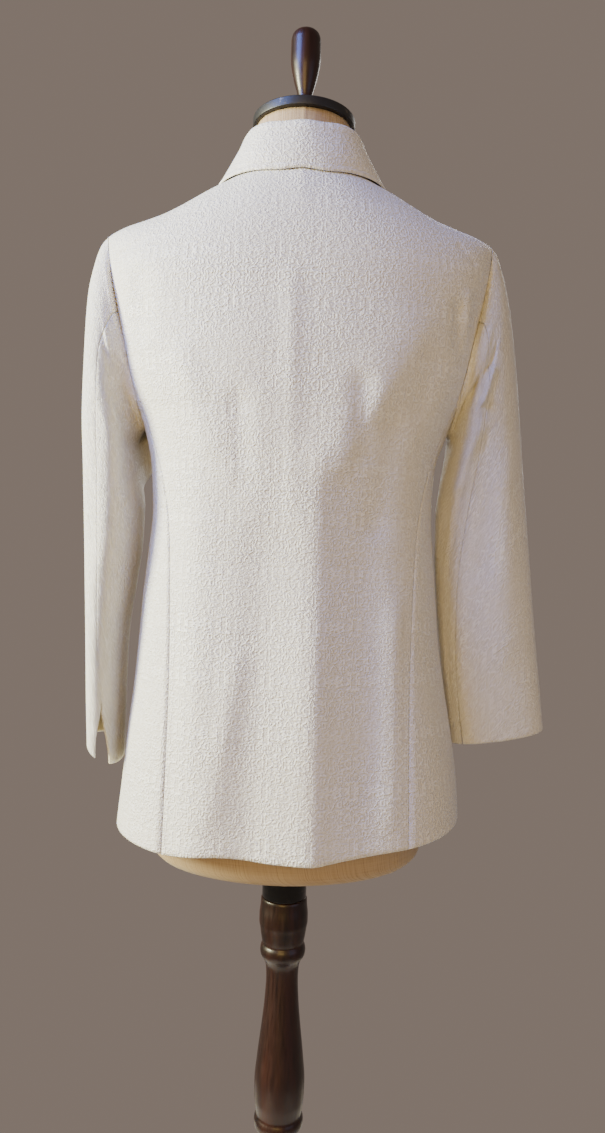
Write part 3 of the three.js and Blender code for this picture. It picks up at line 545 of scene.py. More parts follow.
@dataclass
class Body:
    """The back, the side panels, the fronts and their lapels."""

    surface: BodySurface
    cloth: bpy.types.Material
    lining: bpy.types.Material
    back_creases: Sequence[Crease] = (
        Crease(-20, 1150, -24, 740, 26, 5.5, to_hem=True, far=17),
        Crease(-128, 1292, -34, 1135, 34, 4, far=14),
        Crease(-62, 1235, -66, 1150, 12, -3),
        Crease(-98, 1195, -80, 1080, 14, -3),
        Crease(8, 1330, 2, 1090, 10, 1.3),
        Crease(30, 1080, 38, 740, 22, -3, to_hem=True),
        Crease(-70, 1120, -78, 740, 24, -5, to_hem=True),
        Crease(96, 1120, 88, 740, 20, 3, to_hem=True),
        Crease(58, 1218, 50, 1120, 12, -2),
        Crease(118, 1260, 84, 1150, 16, 2),
        Crease(52, 960, 74, 800, 14, 2.2),
        Crease(-104, 1010, -100, 800, 13, 2.5),
        Crease(160, 1340, 158, 1270, 12, -2.5),
        Crease(157, 1374, 186, 1360, 4, -1.6),
        Crease(186, 1360, 198, 1346, 4, -1.4),
        Crease(-159, 1377, -180, 1359, 4, -1.5),
        Crease(-160, 1316, -161, 1268, 7, -3.4),
        Crease(-172, 1330, -173, 1284, 6, 2.6),
        Crease(-140, 1262, -118, 1196, 12, -2.2),
    )
    front_creases: Sequence[Crease] = (
        Crease(96, 1160, 84, 780, 20, 4, to_hem=True),
        Crease(-96, 1160, -88, 780, 20, 4, to_hem=True),
        Crease(60, 1060, 56, 780, 16, -3, to_hem=True),
        Crease(-60, 1060, -58, 780, 16, -3, to_hem=True),
        Crease(20, 1066, 84, 1120, 12, 2.4),
        Crease(-22, 1052, -80, 1098, 12, -2.2),
        Crease(150, 1330, 128, 1210, 12, -3),
        Crease(-152, 1330, -126, 1215, 13, -3.2),
        Crease(112, 1010, 104, 860, 12, 2.4),
        Crease(-116, 990, -110, 845, 12, 2.2),
    )
    cuts: dict[str, tuple[tuple[float, float], float]] = field(
        default_factory=lambda: {
            "back": ((0.43, 0.73), 0.231),
            "side_left": ((0.2, 0.47), 0.081),
            "side_right": ((0.2, 0.47), 0.077),
            "front_left": ((0.24, 0.71), 0.119),
            "front_right": ((0.24, 0.71), 0.119),
            "lapel_left": ((0.09, 0.36), 0.0195),
            "lapel_right": ((0.09, 0.36), 0.0195),
        }
    )
    hip_rise: dict[Hand, float] = field(default_factory=lambda: {Hand.LEFT: 6, Hand.RIGHT: 8})
    back_steps: tuple[int, int] = (150, 240)
    side_steps: tuple[int, int] = (44, 170)
    front_steps: tuple[int, int] = (76, 210)
    lapel_steps: tuple[int, int] = (34, 110)
    back_crowding: float = 0.4
    side_blend_from: float = 0.6
    side_blend_edge: float = 0.1
    seam_dip: float = 0.03
    seam_reach: float = 1.5
    break_z: float = 1060
    overlap: float = 18
    right_lift: float = 8
    lift_near: float = 26
    lift_far: float = 70
    lapel_lift: float = CLOTH + 2 * LAYER_GAP
    lapel_roll: float = 2.2
    lapel_bottom: float = 1084
    gorge: float = 1402
    lapel_tip: float = 1372
    underarm_gap: float = 0.4
    side_top: float = 0.83
    lapel_width: Curve = field(
        default_factory=lambda: Curve((0, 0.12, 0.35, 0.65, 1), (3, 24, 53, 72, 80))
    )

    def __post_init__(self) -> None:
        """Lays the creases on the surface."""
        self.surface.creases = {Side.BACK: self.back_creases, Side.FRONT: self.front_creases}

    def build(self) -> None:
        """Makes and dresses every panel."""
        self.build_back()
        for hand in Hand:
            self.build_side(hand)
            self.build_front(hand)
            self.build_lapel(hand)

    def finish(self, name: str, grid: Array, rim: Rim, seams: Rim) -> None:
        """Args:
            name: the name of its solid.
            grid: its places.
            rim: its rounded edges.
            seams: its seams.
        """
        grid = pull_in(grid, directions(grid), seams, self.seam_dip, self.seam_reach)
        across = arc_lengths(grid, 1)
        middle = grid.shape[1] // 2
        chart = np.stack([across - across[:, middle : middle + 1], grid[..., 2]], -1)
        piece = shell(f"{name}_cloth", grid, chart, rim)
        dress(piece, "cloth", [name], self.cloth, self.lining)
        flat, area = self.cuts[name]

    def build_back(self) -> None:
        """The back, cut on the fold."""
        s, v = spread(*self.back_steps)
        t = s * 2 - 1
        column = lerp(t, np.sin(t * math.pi / 2), self.back_crowding)
        body = self.surface
        grid = body.panel_point(
            Side.BACK,
            v,
            lambda z, _: column * -(body.seam_x(Side.BACK, z) - SEAM_GAP / 2),
            lambda x: body.neck_turn(np.abs(x)),
            lambda x: 0.0,
        )
        self.finish("back", grid, Rim(low=1), Rim(0, 1, 0, 1))

    def build_side(self, hand: Hand) -> None:
        """One side panel.

        Args:
            hand: the side of the wearer that it is on.
        """
        s, v = spread(*self.side_steps)
        s = 1 - s if hand is Hand.LEFT else s
        body, sign = self.surface, hand.value
        level = np.full_like(s, body.hem_level)
        seam = body.hem(sign * lerp(body.side_back(level), body.side_front(level), s))
        foot = seam + self.hip_rise[hand] * np.sin(s * math.pi)
        seam_top = lerp(seam, body.chest, self.side_top)
        height = body.armhole_top - body.armhole_bottom
        around = np.degrees(np.arccos((seam_top - body.armhole_bottom) / height * 2 - 1))
        top = body.armhole_point(hand, lerp(around, 360 - around, s))
        z = lerp(foot, top[..., 2] - self.underarm_gap, v)
        back = body.ring_depth(Side.BACK, sign * (body.side_back(z) + SEAM_GAP / 2), z)
        front = -body.ring_depth(Side.FRONT, sign * (body.side_front(z) + SEAM_GAP / 2), z)
        blend = smoothstep(self.side_blend_from, 1, v)
        blend = blend * smoothstep(0, self.side_blend_edge, 0.5 - np.abs(s - 0.5))
        y = lerp(lerp(back, front, s), top[..., 1], blend)
        grid = np.stack([sign * body.side_x(hand, y, z), y, z], -1)
        self.finish(f"side_{hand.word}", grid, Rim(low=1), Rim(0, 1, 1, 1))

    def front_edge(self, hand: Hand, z: Array) -> Array:
        """Where a front's edge lies: straight below the button, on the roll line above it."""
        body = self.surface
        up = np.clip((z - self.break_z) / (body.shoulder(body.neck_side) - self.break_z), 0, 1)
        return hand.value * lerp(-self.overlap, body.neck_side, up)

    def front_lift(self, hand: Hand, x: Array) -> Array:
        """How far a front stands out: the right one lies over the left one and its lapel."""
        lift = self.right_lift * smoothstep(-self.lift_far, -self.lift_near, x)
        return lift if hand is Hand.RIGHT else np.zeros_like(lift)

    def build_front(self, hand: Hand) -> None:
        """One front.

        Args:
            hand: the side of the wearer that it is on.
        """
        s, v = spread(*self.front_steps)
        s = 1 - s if hand is Hand.RIGHT else s
        body = self.surface

        def x_at(z: Array, edge_height: Array) -> Array:
            """How far out each column lies."""
            outer = np.where(v <= body.low_part, body.seam_x(Side.FRONT, z), body.armhole(z))
            return lerp(self.front_edge(hand, edge_height), hand.value * (outer - SEAM_GAP / 2), s)

        grid = body.panel_point(
            Side.FRONT, v, x_at, lambda x: np.ones_like(x), lambda x: self.front_lift(hand, x)
        )
        free_right = hand is Hand.RIGHT
        rim = Rim(1, 1 if free_right else 0, 0, 0 if free_right else 1)
        seams = Rim(0, 0 if free_right else 1, 0, 1 if free_right else 0)
        self.finish(f"front_{hand.word}", grid, rim, seams)

    def build_lapel(self, hand: Hand) -> None:
        """One lapel, the turned-back top of a front.

        Args:
            hand: the side of the wearer that it is on.
        """
        s, v = spread(*self.lapel_steps)
        s = 1 - s if hand is Hand.RIGHT else s
        roll_z = lerp(self.lapel_bottom, self.gorge, v)
        out_z = lerp(self.lapel_bottom, self.lapel_tip, v)
        roll = self.front_edge(hand, roll_z)
        outer = self.front_edge(hand, out_z) + hand.value * self.lapel_width(v)
        x = lerp(roll, outer, s)
        proud = self.lapel_roll * (1 - s) ** 3
        lift = self.front_lift(hand, x) + self.lapel_lift + proud
        grid = self.surface.point(Side.FRONT, x, lerp(roll_z, out_z, s), lift)
        self.finish(f"lapel_{hand.word}", grid, Rim(1, 1, 1, 1), Rim())


@dataclass
class Sleeve:
    """One two-piece sleeve: its top piece and its under piece, with an open vent at the cuff."""

    hand: Hand
    surface: BodySurface
    cloth: bpy.types.Material
    lining: bpy.types.Material
    sections: Table
    creases: Sequence[Crease]
    presses: Sequence[Crease]
    vent: float
    seam_dip: float
    cuts: dict[str, tuple[tuple[float, float], float]]
    length: float = 480
    vent_start: float = 0.9
    seam_head: float = 0.2
    seam_low: float = 0.08
    seam_from: float = 0.3
    seam_reach: float = 2.0
    armhole_gap: float = 0.05
    underarm_gap: float = 0.25
    clearance: float = 1.2
    welt: float = 0.5
    welt_at: float = 0.5
    welt_half: float = 1.1
    blend: float = 0.09
    steady_from: float = 0.03
    armhole_low_x: float = 164
    least_radius: float = 20
    top_columns: int = 110
    under_columns: int = 90
    rows: int = 220
    crowding: float = 1.15
    vent_fade: float = 0.04

    def __post_init__(self) -> None:
        """Reads the sections as curves of the distance along the sleeve, 0 at the armhole."""
        columns = self.sections.columns
        count = len(columns["out_x"])
        body = self.surface
        start = {"out_x": body.armhole_top_x, "out_z": body.armhole_top, "in_x": self.armhole_low_x}
        start["in_z"] = body.armhole_bottom
        places = np.arange(count + 1) / count
        self.at = {
            name: Curve(places, [start.get(name, values[0]), *values])
            for name, values in columns.items()
        }

    def fold(self, creases: Sequence[Crease], angle: Array, v: Array) -> Array:
        """The lift of some creases.

        Args:
            creases: the creases; x is an angle, where a degree is about 1 mm, and z the distance along.
            angle: the angles.
            v: the places along.

        Returns:
            The lift at each place.
        """
        total = np.zeros_like(angle)
        for crease in creases:
            middle = (crease.x0 + crease.x1) / 2
            near = middle + np.mod(angle - middle + 180, 360) - 180
            total = total + crease.lift(near, v * self.length)
        return total

    def point(self, angle: Array, v: Array) -> Array:
        """A place on the sleeve.

        Args:
            angle: round it in degrees, from the outer edge by way of the back.
            v: along it.

        Returns:
            The places, in the angles' shape by three.
        """
        at, sign = self.at, self.hand.value
        c, s = np.cos(np.radians(angle)), np.sin(np.radians(angle))
        out_x, in_x, out_z, in_z = (at[name](v) for name in ("out_x", "in_x", "out_z", "in_z"))
        half_x, half_z = (out_x - in_x) / 2, (out_z - in_z) / 2
        half = np.hypot(half_x, half_z)
        radial = np.hypot(half * c, at["back"](v) * s)
        swell = 1 + self.fold(self.creases, angle, v) / np.maximum(radial, self.least_radius)
        deep = np.where(s > 0, at["back"](v), at["front"](v)) * s * swell
        x = (out_x + in_x) / 2 + half_x * c * swell + self.armhole_gap
        z = (out_z + in_z) / 2 + half_z * c * swell
        pressed = x - self.fold(self.presses, angle, v)
        against = self.surface.side_x(self.hand, deep, z) + self.clearance
        x = np.minimum(x, np.maximum(pressed, against))
        free = np.stack([sign * x, deep, z], -1)
        ring = self.surface.armhole_point(self.hand, np.mod(angle, 360))
        ring[..., 0] += sign * (self.armhole_gap + self.underarm_gap * (1 - c) / 2)
        return lerp(ring, free, smoothstep(0, self.blend, v)[..., None])

    def build(self) -> None:
        """Makes and dresses both pieces."""
        self.build_piece("top", self.top_columns)
        self.build_piece("under", self.under_columns)

    def build_piece(self, part: str, columns: int) -> None:
        """One piece of the sleeve.

        Args:
            part: top or under.
            columns: the steps round it.
        """
        s, v = spread(columns, self.rows)
        along = v**self.crowding
        s = 1 - s if self.hand is Hand.LEFT else s
        at = self.at
        elbow, inseam = at["elbow"](along), at["inseam"](along)
        wide, high = (at[f"out_{way}"](along) - at[f"in_{way}"](along) for way in "xz")
        size = np.hypot(wide, high) / 2
        gap = lerp(self.seam_head, self.seam_low, smoothstep(0, self.seam_from, along))
        half = np.degrees(gap / size)
        open_by = self.vent * smoothstep(self.vent_start, 1, along)
        if part == "under":
            start, end = elbow + half + open_by, inseam - half
        else:
            start, end = inseam - 360 + half, elbow - half - open_by
        grid = self.point(lerp(start, end, s), along)
        out = directions(grid)
        steady = np.argmax(along[:, 0] >= self.steady_from)
        out[:steady] = out[steady]
        seamed = pull_in(grid, out, Rim(0, 1, 0, 1), self.seam_dip, self.seam_reach)
        open_part = smoothstep(self.vent_start - self.vent_fade, self.vent_start, along)
        grid = lerp(seamed, grid, open_part[..., None])
        from_armhole = (arc_lengths(grid, 0) - self.welt_at) / self.welt_half
        grid = grid + out * (self.welt * np.exp(-(from_armhole**2)))[..., None]
        round_it = arc_lengths(grid, 1)
        middle = round_it[:, columns // 2 : columns // 2 + 1]
        chart = np.stack([round_it - middle, -arc_lengths(grid, 0)], -1)
        name = f"sleeve_{part}_{self.hand.word}"
        piece = shell(f"{name}_cloth", grid, chart, Rim(high=1), out)
        dress(piece, "cloth", [name], self.cloth, self.lining)
        flat, area = self.cuts[part]


def spline(points: Array, at: Array) -> Array:
    """A centripetal curve through points, each of which may be a row of places.

    Args:
        points: the places it goes through, along the first axis.
        at: where to read it, from 0 to 1.

    Returns:
        The places read, along the first axis.
    """
    padded = np.concatenate([2 * points[:1] - points[1:2], points, 2 * points[-1:] - points[-2:-1]])
    gap_shade = np.linalg.norm(np.diff(padded, axis=0), axis=-1, keepdims=True) ** 0.5
    place = np.clip(at, 0, 1) * (len(points) - 1)
    i = np.minimum(place.astype(int), len(points) - 2)
    t = (place - i).reshape(-1, *([1] * (points.ndim - 1)))
    p0, p1, p2, p3 = (padded[i + k] for k in range(4))
    d0, d1, d2 = (gap_shade[i + k] for k in range(3))
    m1 = ((p1 - p0) / d0 - (p2 - p0) / (d0 + d1) + (p2 - p1) / d1) * d1
    m2 = ((p2 - p1) / d1 - (p3 - p1) / (d1 + d2) + (p3 - p2) / d2) * d1
    return p1 + m1 * t + (3 * (p2 - p1) - 2 * m1 - m2) * t**2 + (2 * (p1 - p2) + m1 + m2) * t**3


@dataclass
class Collar:
    """The collar: a strip folded along its roll line, its stand inside and its fall outside."""

    surface: BodySurface
    body: Body
    cloth: bpy.types.Material
    round_back: Table = field(
        default_factory=lambda: Table(
            "angle roll_out roll_up edge_out bulge",
            [(0, -3, 43, 8, 3), (30, -5, 45, 9.3, 3), (60, -14, 46, 10.5, 1), (90, -23.5, 46, 11, -1)],
        )
    )
    down_front: Sequence[tuple[float, ...]] = (
        (1447, 17, 9, 38, 99, 1438),
        (1440, 12, 13, 30, 107, 1430),
        (1430, 8, 12, 22, 114, 1419),
        (1419, 4, 9, 14, 119, 1410),
        (1406, 0, 6, 5, 122, 1402),
    )
    angles: Sequence[float] = (90, 75, 60, 45, 30, 15, 0)
    lift: float = 1.7
    roll_half: float = 3
    notch: tuple[float, float] = (103, 1388.5)
    stitch_line: float = 5.5
    stitch_lift: float = 0.55
    stitch_half: float = 1.3
    edge_sink: float = 0.35
    edge_at: float = 2
    edge_half: float = 2.2
    steps_round: int = 260
    steps_across: int = 76
    fall_at: tuple[float, float] = (0.3, 0.65)
    front_way: tuple[float, float] = (0.75, -0.66)
    far_at: tuple[float, float] = (0.66, 0.5)
    near_at: tuple[float, float] = (0.55, 0.4)
    near_lift: float = 3
    far_lift: float = 0.8

    def height_at(self, x: float, y: float) -> float:
        """The height of the back's surface above the chest at a place seen from above."""
        body = self.surface
        low, high = 0.0, 1.0
        for _ in range(20):
            turn = (low + high) / 2
            if body.depth_from_turn(Side.BACK, np.array([x]), np.array([turn]))[0] > abs(y):
                low = turn
            else:
                high = turn
        return float(lerp(body.chest, body.shoulder(abs(x)), body.rise(np.array(low))))

    def roll_points(self, neck: Array, roll: Array, out: Array) -> list[Array]:
        """The stand's middle, and the fold of the roll line."""
        drop = np.array([0, 0, self.roll_half])
        inner, outer = roll - out * self.roll_half - drop, roll + out * self.roll_half - drop
        return [(neck + roll) / 2, inner, roll, outer]

    def back_section(self, hand: Hand, angle: float) -> list[Array]:
        """One section round the back: the neck seam, the stand, the roll and the fall.

        Args:
            hand: the side of the wearer that it is on.
            angle: its direction from straight back, in degrees.

        Returns:
            Its eight places.
        """
        a, body = math.radians(angle), self.surface
        out = np.array([hand.value * math.sin(a), math.cos(a), 0])
        neck_x = np.array([body.neck_side * math.sin(a)])
        seam = body.high_point(Side.BACK, hand.value * neck_x, body.neck_turn(neck_x))[0]
        at = {name: float(self.round_back.curve("angle", name)(angle)) for name in self.round_back.columns}
        neck = seam - out * CLOTH + np.array([0, 0, 2 * SEAM_GAP])
        roll = seam + out * at["roll_out"] + np.array([0, 0, at["roll_up"]])
        edge = seam + out * at["edge_out"]
        edge[2] = self.height_at(edge[0], edge[1]) + self.lift
        falls = [lerp(roll, edge, t) + out * at["bulge"] for t in self.fall_at]
        return [neck, *self.roll_points(neck, roll, out), *falls, edge]

    def off_front(self, x: float, z: float, lift: float) -> Array:
        """A place on the front, moved straight out of its surface."""
        step = 1e-3
        near = self.surface.point(
            Side.FRONT, np.array([x, x - step, x + step, x]), np.array([z, z, z, z - step])
        )
        out = np.cross(near[1] - near[2], near[0] - near[3])
        out /= np.linalg.norm(out)
        return near[0] - out * lift * np.sign(out[1])

    def front_section(self, hand: Hand, row: tuple[float, ...], last: bool) -> list[Array]:
        """One section down the front, where the fall lies on the front's own surface.

        Args:
            hand: the side of the wearer that it is on.
            row: the neck's height, the roll line's place and the edge's place.
            last: whether it is the collar's end, at the notch.

        Returns:
            Its eight places.
        """
        neck_z, roll_in, roll_out, roll_up, edge_x, edge_z = row
        sign = hand.value
        neck_x = float(self.body.front_edge(hand, np.array(neck_z)))
        seam = self.surface.point(Side.FRONT, np.array([neck_x]), np.array([neck_z]))[0]
        out = np.array([sign * self.front_way[0], self.front_way[1], 0])
        neck = seam + np.array([-sign * SEAM_GAP * 3, -CLOTH, 0])
        roll = np.array([neck_x - sign * roll_in, seam[1] - roll_out, neck_z + roll_up])
        start, end = (abs(neck_x), neck_z), (edge_x, edge_z)
        via = self.notch if last else [lerp(*ends) for ends in zip(start, end, self.far_at)]
        near_x, near_z = (lerp(*ends) for ends in zip(start, via, self.near_at))
        near = self.off_front(sign * near_x, near_z, self.lift + self.near_lift)
        far = self.off_front(sign * via[0], via[1], self.lift + self.far_lift)
        edge = self.off_front(sign * edge_x, edge_z, self.lift)
        return [neck, *self.roll_points(neck, roll, out), near, far, edge]

    def half(self, hand: Hand) -> list[list[Array]]:
        """The sections of one half, from the notch to the middle of the back."""
        front = [
            self.front_section(hand, row, i == 0) for i, row in enumerate(reversed(self.down_front))
        ]
        return front + [self.back_section(hand, angle) for angle in self.angles]

    def build(self) -> None:
        """Makes and dresses the collar."""
        sections = np.array(self.half(Hand.LEFT) + self.half(Hand.RIGHT)[-2::-1])
        lines = spline(sections, np.linspace(0, 1, self.steps_round))
        grid = spline(lines.transpose(1, 0, 2), np.linspace(0, 1, self.steps_across))
        along = arc_lengths(grid, 0)
        from_edge = along[-1:] - along
        out = directions(grid)
        stitched = np.exp(-(((from_edge - self.stitch_line) / self.stitch_half) ** 2))
        pressed = np.exp(-(((from_edge - self.edge_at) / self.edge_half) ** 2))
        face = grid + out * (self.stitch_lift * stitched - self.edge_sink * pressed)[..., None]
        across = arc_lengths(grid, 1)
        middle = self.steps_round // 2
        chart = np.stack([across - across[:, middle : middle + 1], along], -1)
        piece = shell("collar_cloth", face, chart, Rim(0, 1, 1, 1), out)
        dress(piece, "cloth", ["collar"], self.cloth, self.cloth)


def lathe(name: str, radii: Sequence[float], heights: Sequence[float], sides: int = 96) -> bpy.types.Object:
    """A turned solid on the Z axis, closed at both ends.

    Args:
        name: the piece's name.
        radii: its radius at each height.
        heights: the heights, rising.
        sides: the steps round it.

    Returns:
        The new object.
    """
    angles = np.linspace(0, 2 * math.pi, sides, endpoint=False)
    ring = np.stack([np.cos(angles), np.sin(angles)], -1)
    radii, heights = np.asarray(radii, float), np.asarray(heights, float)
    levels = np.broadcast_to(heights[:, None, None], (len(radii), sides, 1))
    return closed_rings(name, np.concatenate([ring[None] * radii[:, None, None], levels], -1))


def fine(curve: Curve, step: float) -> tuple[Array, Array]:
    """A profile's places and values at even steps, with every place that it was given.

    Args:
        curve: the profile.
        step: the longest step.

    Returns:
        The places and the values.
    """
    places = [
        np.linspace(a, b, max(2, int(abs(b - a) / step) + 1), endpoint=False)
        for a, b in zip(curve.keys[:-1], curve.keys[1:])
    ]
    at = np.concatenate([*places, curve.keys[-1:]])
    return at, curve(at)


@dataclass
class DressForm:
    """The limbless form: its linen covered torso and neck, the neck's plate and the turned knob."""

    linen: bpy.types.Material
    plate: bpy.types.Material
    wood: bpy.types.Material
    rings: Table = field(
        default_factory=lambda: Table(
            "z wide back front",
            [
                (728, 126, 92, 92),
                (732, 139, 103, 103),
                (742, 146.5, 109, 109),
                (770, 149, 112, 112),
                (860, 150, 110, 114),
                (960, 140, 102, 110),
                (1080, 121, 88, 98),
                (1160, 132, 96, 110),
                (1230, 148, 99, 119),
                (1300, 162, 97, 110),
                (1350, 168, 88, 96),
                (1380, 171, 78, 82),
                (1396, 170, 70, 72),
                (1405, 164, 64, 66),
                (1412, 145, 60, 62),
                (1419, 130, 58, 60),
                (1428, 114, 56, 57),
                (1437, 98, 54, 55),
                (1448, 79, 52, 52),
                (1462, 64, 51, 51),
                (1485, 51.5, 51, 51),
                (1519, 51, 50, 50),
            ],
        )
    )
    seams: Sequence[float] = (0, 38, 90, 142, 180, 218, 270, 322)
    cap_bottom: float = 1519.3
    cap_top: float = 1529
    cap_radius: float = 55.5
    cap_edge: float = 1.2
    cap_hole: float = 4
    cap_dish: Sequence[float] = (38, 37, 12, 4)
    cap_dish_depth: float = 0.4
    seam_lift: float = 0.6
    seam_half: float = 1.6
    knob_foot: float = 1529.3
    knob: Curve = field(
        default_factory=lambda: Curve(
            (0, 3, 6, 24, 31, 35.5, 43.2, 52.8, 62, 70, 86, 92, 95.5, 97),
            (9.5, 9.5, 7.6, 7.6, 8.6, 9.9, 12.1, 14.3, 15.8, 16.2, 16.1, 14.9, 12, 8),
        )
    )

    def build(self) -> None:
        """Makes and dresses the three pieces."""
        self.build_torso()
        low, high, edge = self.cap_bottom, self.cap_top, self.cap_edge
        turn = np.radians(np.linspace(0, 90, 6))
        radii = self.cap_radius - edge + edge * np.sin(turn)
        drop = edge * (1 - np.cos(turn))
        sunk = high - self.cap_dish_depth
        cap = lathe(
            "neck_plate",
            np.concatenate([[self.cap_hole], radii, radii[::-1], self.cap_dish]),
            np.concatenate([[low], low + drop, high - drop[::-1], [high, sunk, sunk, sunk]]),
            ROUND_SIDES,
        )
        dress(cap, "black_metal", ["form_neck_cap"], self.plate)
        heights, radii = fine(self.knob, 1.2)
        dress(lathe("turned_knob", radii, self.knob_foot + heights), "wood", ["form_finial"], self.wood)

    def build_torso(self) -> None:
        """The torso and neck, with the cover's raised seams."""
        heights, _ = fine(self.rings.curve("z", "wide"), 4)
        angle = np.linspace(0, 360, 180, endpoint=False)
        grid_z, grid_a = np.meshgrid(heights, angle, indexing="ij")
        wide = self.rings.curve("z", "wide")(grid_z)
        back, front = (self.rings.curve("z", name)(grid_z) for name in ("back", "front"))
        c, s = np.cos(np.radians(grid_a)), np.sin(np.radians(grid_a))
        off = np.min([np.abs((grid_a - seam + 180) % 360 - 180) for seam in self.seams], axis=0)
        ridge = self.seam_lift * np.exp(-((np.radians(off) * wide / self.seam_half) ** 2))
        x, y = (wide + ridge) * c, (np.where(s > 0, back, front) + ridge) * s
        piece = closed_rings("form_torso_linen", np.stack([x, y, grid_z], -1))
        flat = np.stack([np.radians(grid_a) * wide, grid_z], -1).reshape(-1, 2)
        lay_chart(piece.data, flat)
        dress(piece, "linen", ["form_torso"], self.linen)


@dataclass
class Stand:
    """The black ring under the form, the turned pole and the turned foot."""

    wood: bpy.types.Material
    enamel: bpy.types.Material
    ring_bottom: float = 680.5
    ring_top: float = 727.7
    ring_radius: float = 24.4
    ring_edge: float = 0.8
    pole_top: float = 680.2
    pole: Curve = field(
        default_factory=lambda: Curve(
            (0, 1.5, 8, 20, 27, 33, 48, 51, 54, 59, 64, 70, 77, 91, 115, 140, 178, 206, 226, 238, 242)
            + (246, 250, 255, 262, 290, 560, 585, 600, 612),
            (24.2, 25.2, 25.6, 26.8, 26.8, 25.8, 23.4, 22.6, 24.2, 25, 24.2, 20.5, 18.3, 17.6, 18.8, 21.2)
            + (25.5, 27.8, 27.2, 25.6, 25.2, 26.9, 27.2, 26.6, 22, 20, 20, 22, 27, 28),
        )
    )
    foot: Curve = field(
        default_factory=lambda: Curve(
            (0, 4, 14, 20, 24, 28, 40, 48, 55, 67.9), (168, 170, 170, 166, 158, 120, 60, 38, 32, 30)
        )
    )

    def build(self) -> None:
        """Makes and dresses the three pieces."""
        turn = np.radians(np.linspace(0, 90, 5))
        edge, radius = self.ring_edge, self.ring_radius
        rounded = radius - edge + edge * np.sin(turn)
        drop = edge * (1 - np.cos(turn))
        ring = lathe(
            "black_ring",
            np.concatenate([rounded, rounded[::-1]]),
            np.concatenate([self.ring_bottom + drop, self.ring_top - drop[::-1]]),
        )
        dress(ring, "black_paint", ["pole_collar"], self.enamel)
        down, radii = fine(self.pole, 2.5)
        dress(lathe("turned_pole", radii[::-1], (self.pole_top - down)[::-1]), "wood", ["pole"], self.wood)
        heights, radii = fine(self.foot, 2)
        dress(lathe("turned_foot", radii, heights, ROUND_SIDES), "wood", ["base"], self.wood)


@dataclass
class CoveredButton:
    """The one button of the hidden front, covered with the garment's cloth."""

    surface: BodySurface
    cloth: bpy.types.Material
    z: float = 1068
    profile: Curve = field(
        default_factory=lambda: Curve((0, 0.8, 2, 3.2, 3.8, 4), (9.5, 11, 11, 9.02, 6.5, 3))
    )
    sides: int = 64
    seat: float = 8.5

    def build(self) -> None:
        """Makes and dresses the button."""
        heights, radii = fine(self.profile, 0.4)
        button = lathe("button_cloth", radii, heights, self.sides)
        at = self.surface.point(Side.FRONT, np.zeros(1), np.array([self.z]), self.seat)[0]
        turn = Matrix.Rotation(math.pi / 2, 4, "X")
        button.data.transform(Matrix.Translation((at * MM).tolist()) @ turn)
        lay_chart(button.data, np.array([(v.co.x, v.co.z) for v in button.data.vertices]) / MM)
        dress(button, "cloth", ["button"], self.cloth)


def linear(hex_colour: str) -> tuple[float, float, float, float]:
    """An sRGB colour such as #d8d2c6 as linear values.

    Args:
        hex_colour: the colour.

    Returns:
        Red, green, blue and an alpha of 1.
    """
    parts = [int(hex_colour[i : i + 2], 16) / 255 for i in (1, 3, 5)]
    red, green, blue = (p / 12.92 if p <= 0.04045 else ((p + 0.055) / 1.055) ** 2.4 for p in parts)
    return red, green, blue, 1.0


def add_node(
    tree: bpy.types.NodeTree, kind: str, inputs: dict | None = None, **settings: object
) -> bpy.types.Node:
    """Adds a node with its settings and its inputs.

    Args:
        tree: the material's node tree.
        kind: the node's type, without the words ShaderNode before it.
        inputs: for each input's name or number, a value, a node for its first output, or a socket.
        settings: the node's own properties.

    Returns:
        The new node.
    """
    node = tree.nodes.new(f"ShaderNode{kind}")
    for name, value in settings.items():
        setattr(node, name, value)
    for key, value in (inputs or {}).items():
        if isinstance(value, bpy.types.Node):
            value = value.outputs[0]
        if isinstance(value, bpy.types.NodeSocket):
            tree.links.new(value, node.inputs[key])
        else:
            node.inputs[key].default_value = value
    return node


def new_material(name: str) -> tuple[bpy.types.Material, bpy.types.NodeTree]:
    """An empty material with nodes.

    Args:
        name: its name.

    Returns:
        The material and its node tree.
    """
    material = bpy.data.materials.new(name)
    material.use_nodes = True
    material.node_tree.nodes.clear()
    return material, material.node_tree


def close_material(tree: bpy.types.NodeTree, shader: bpy.types.Node) -> None:
    """Joins a shader to the material's output."""
    add_node(tree, "OutputMaterial", {"Surface": shader})


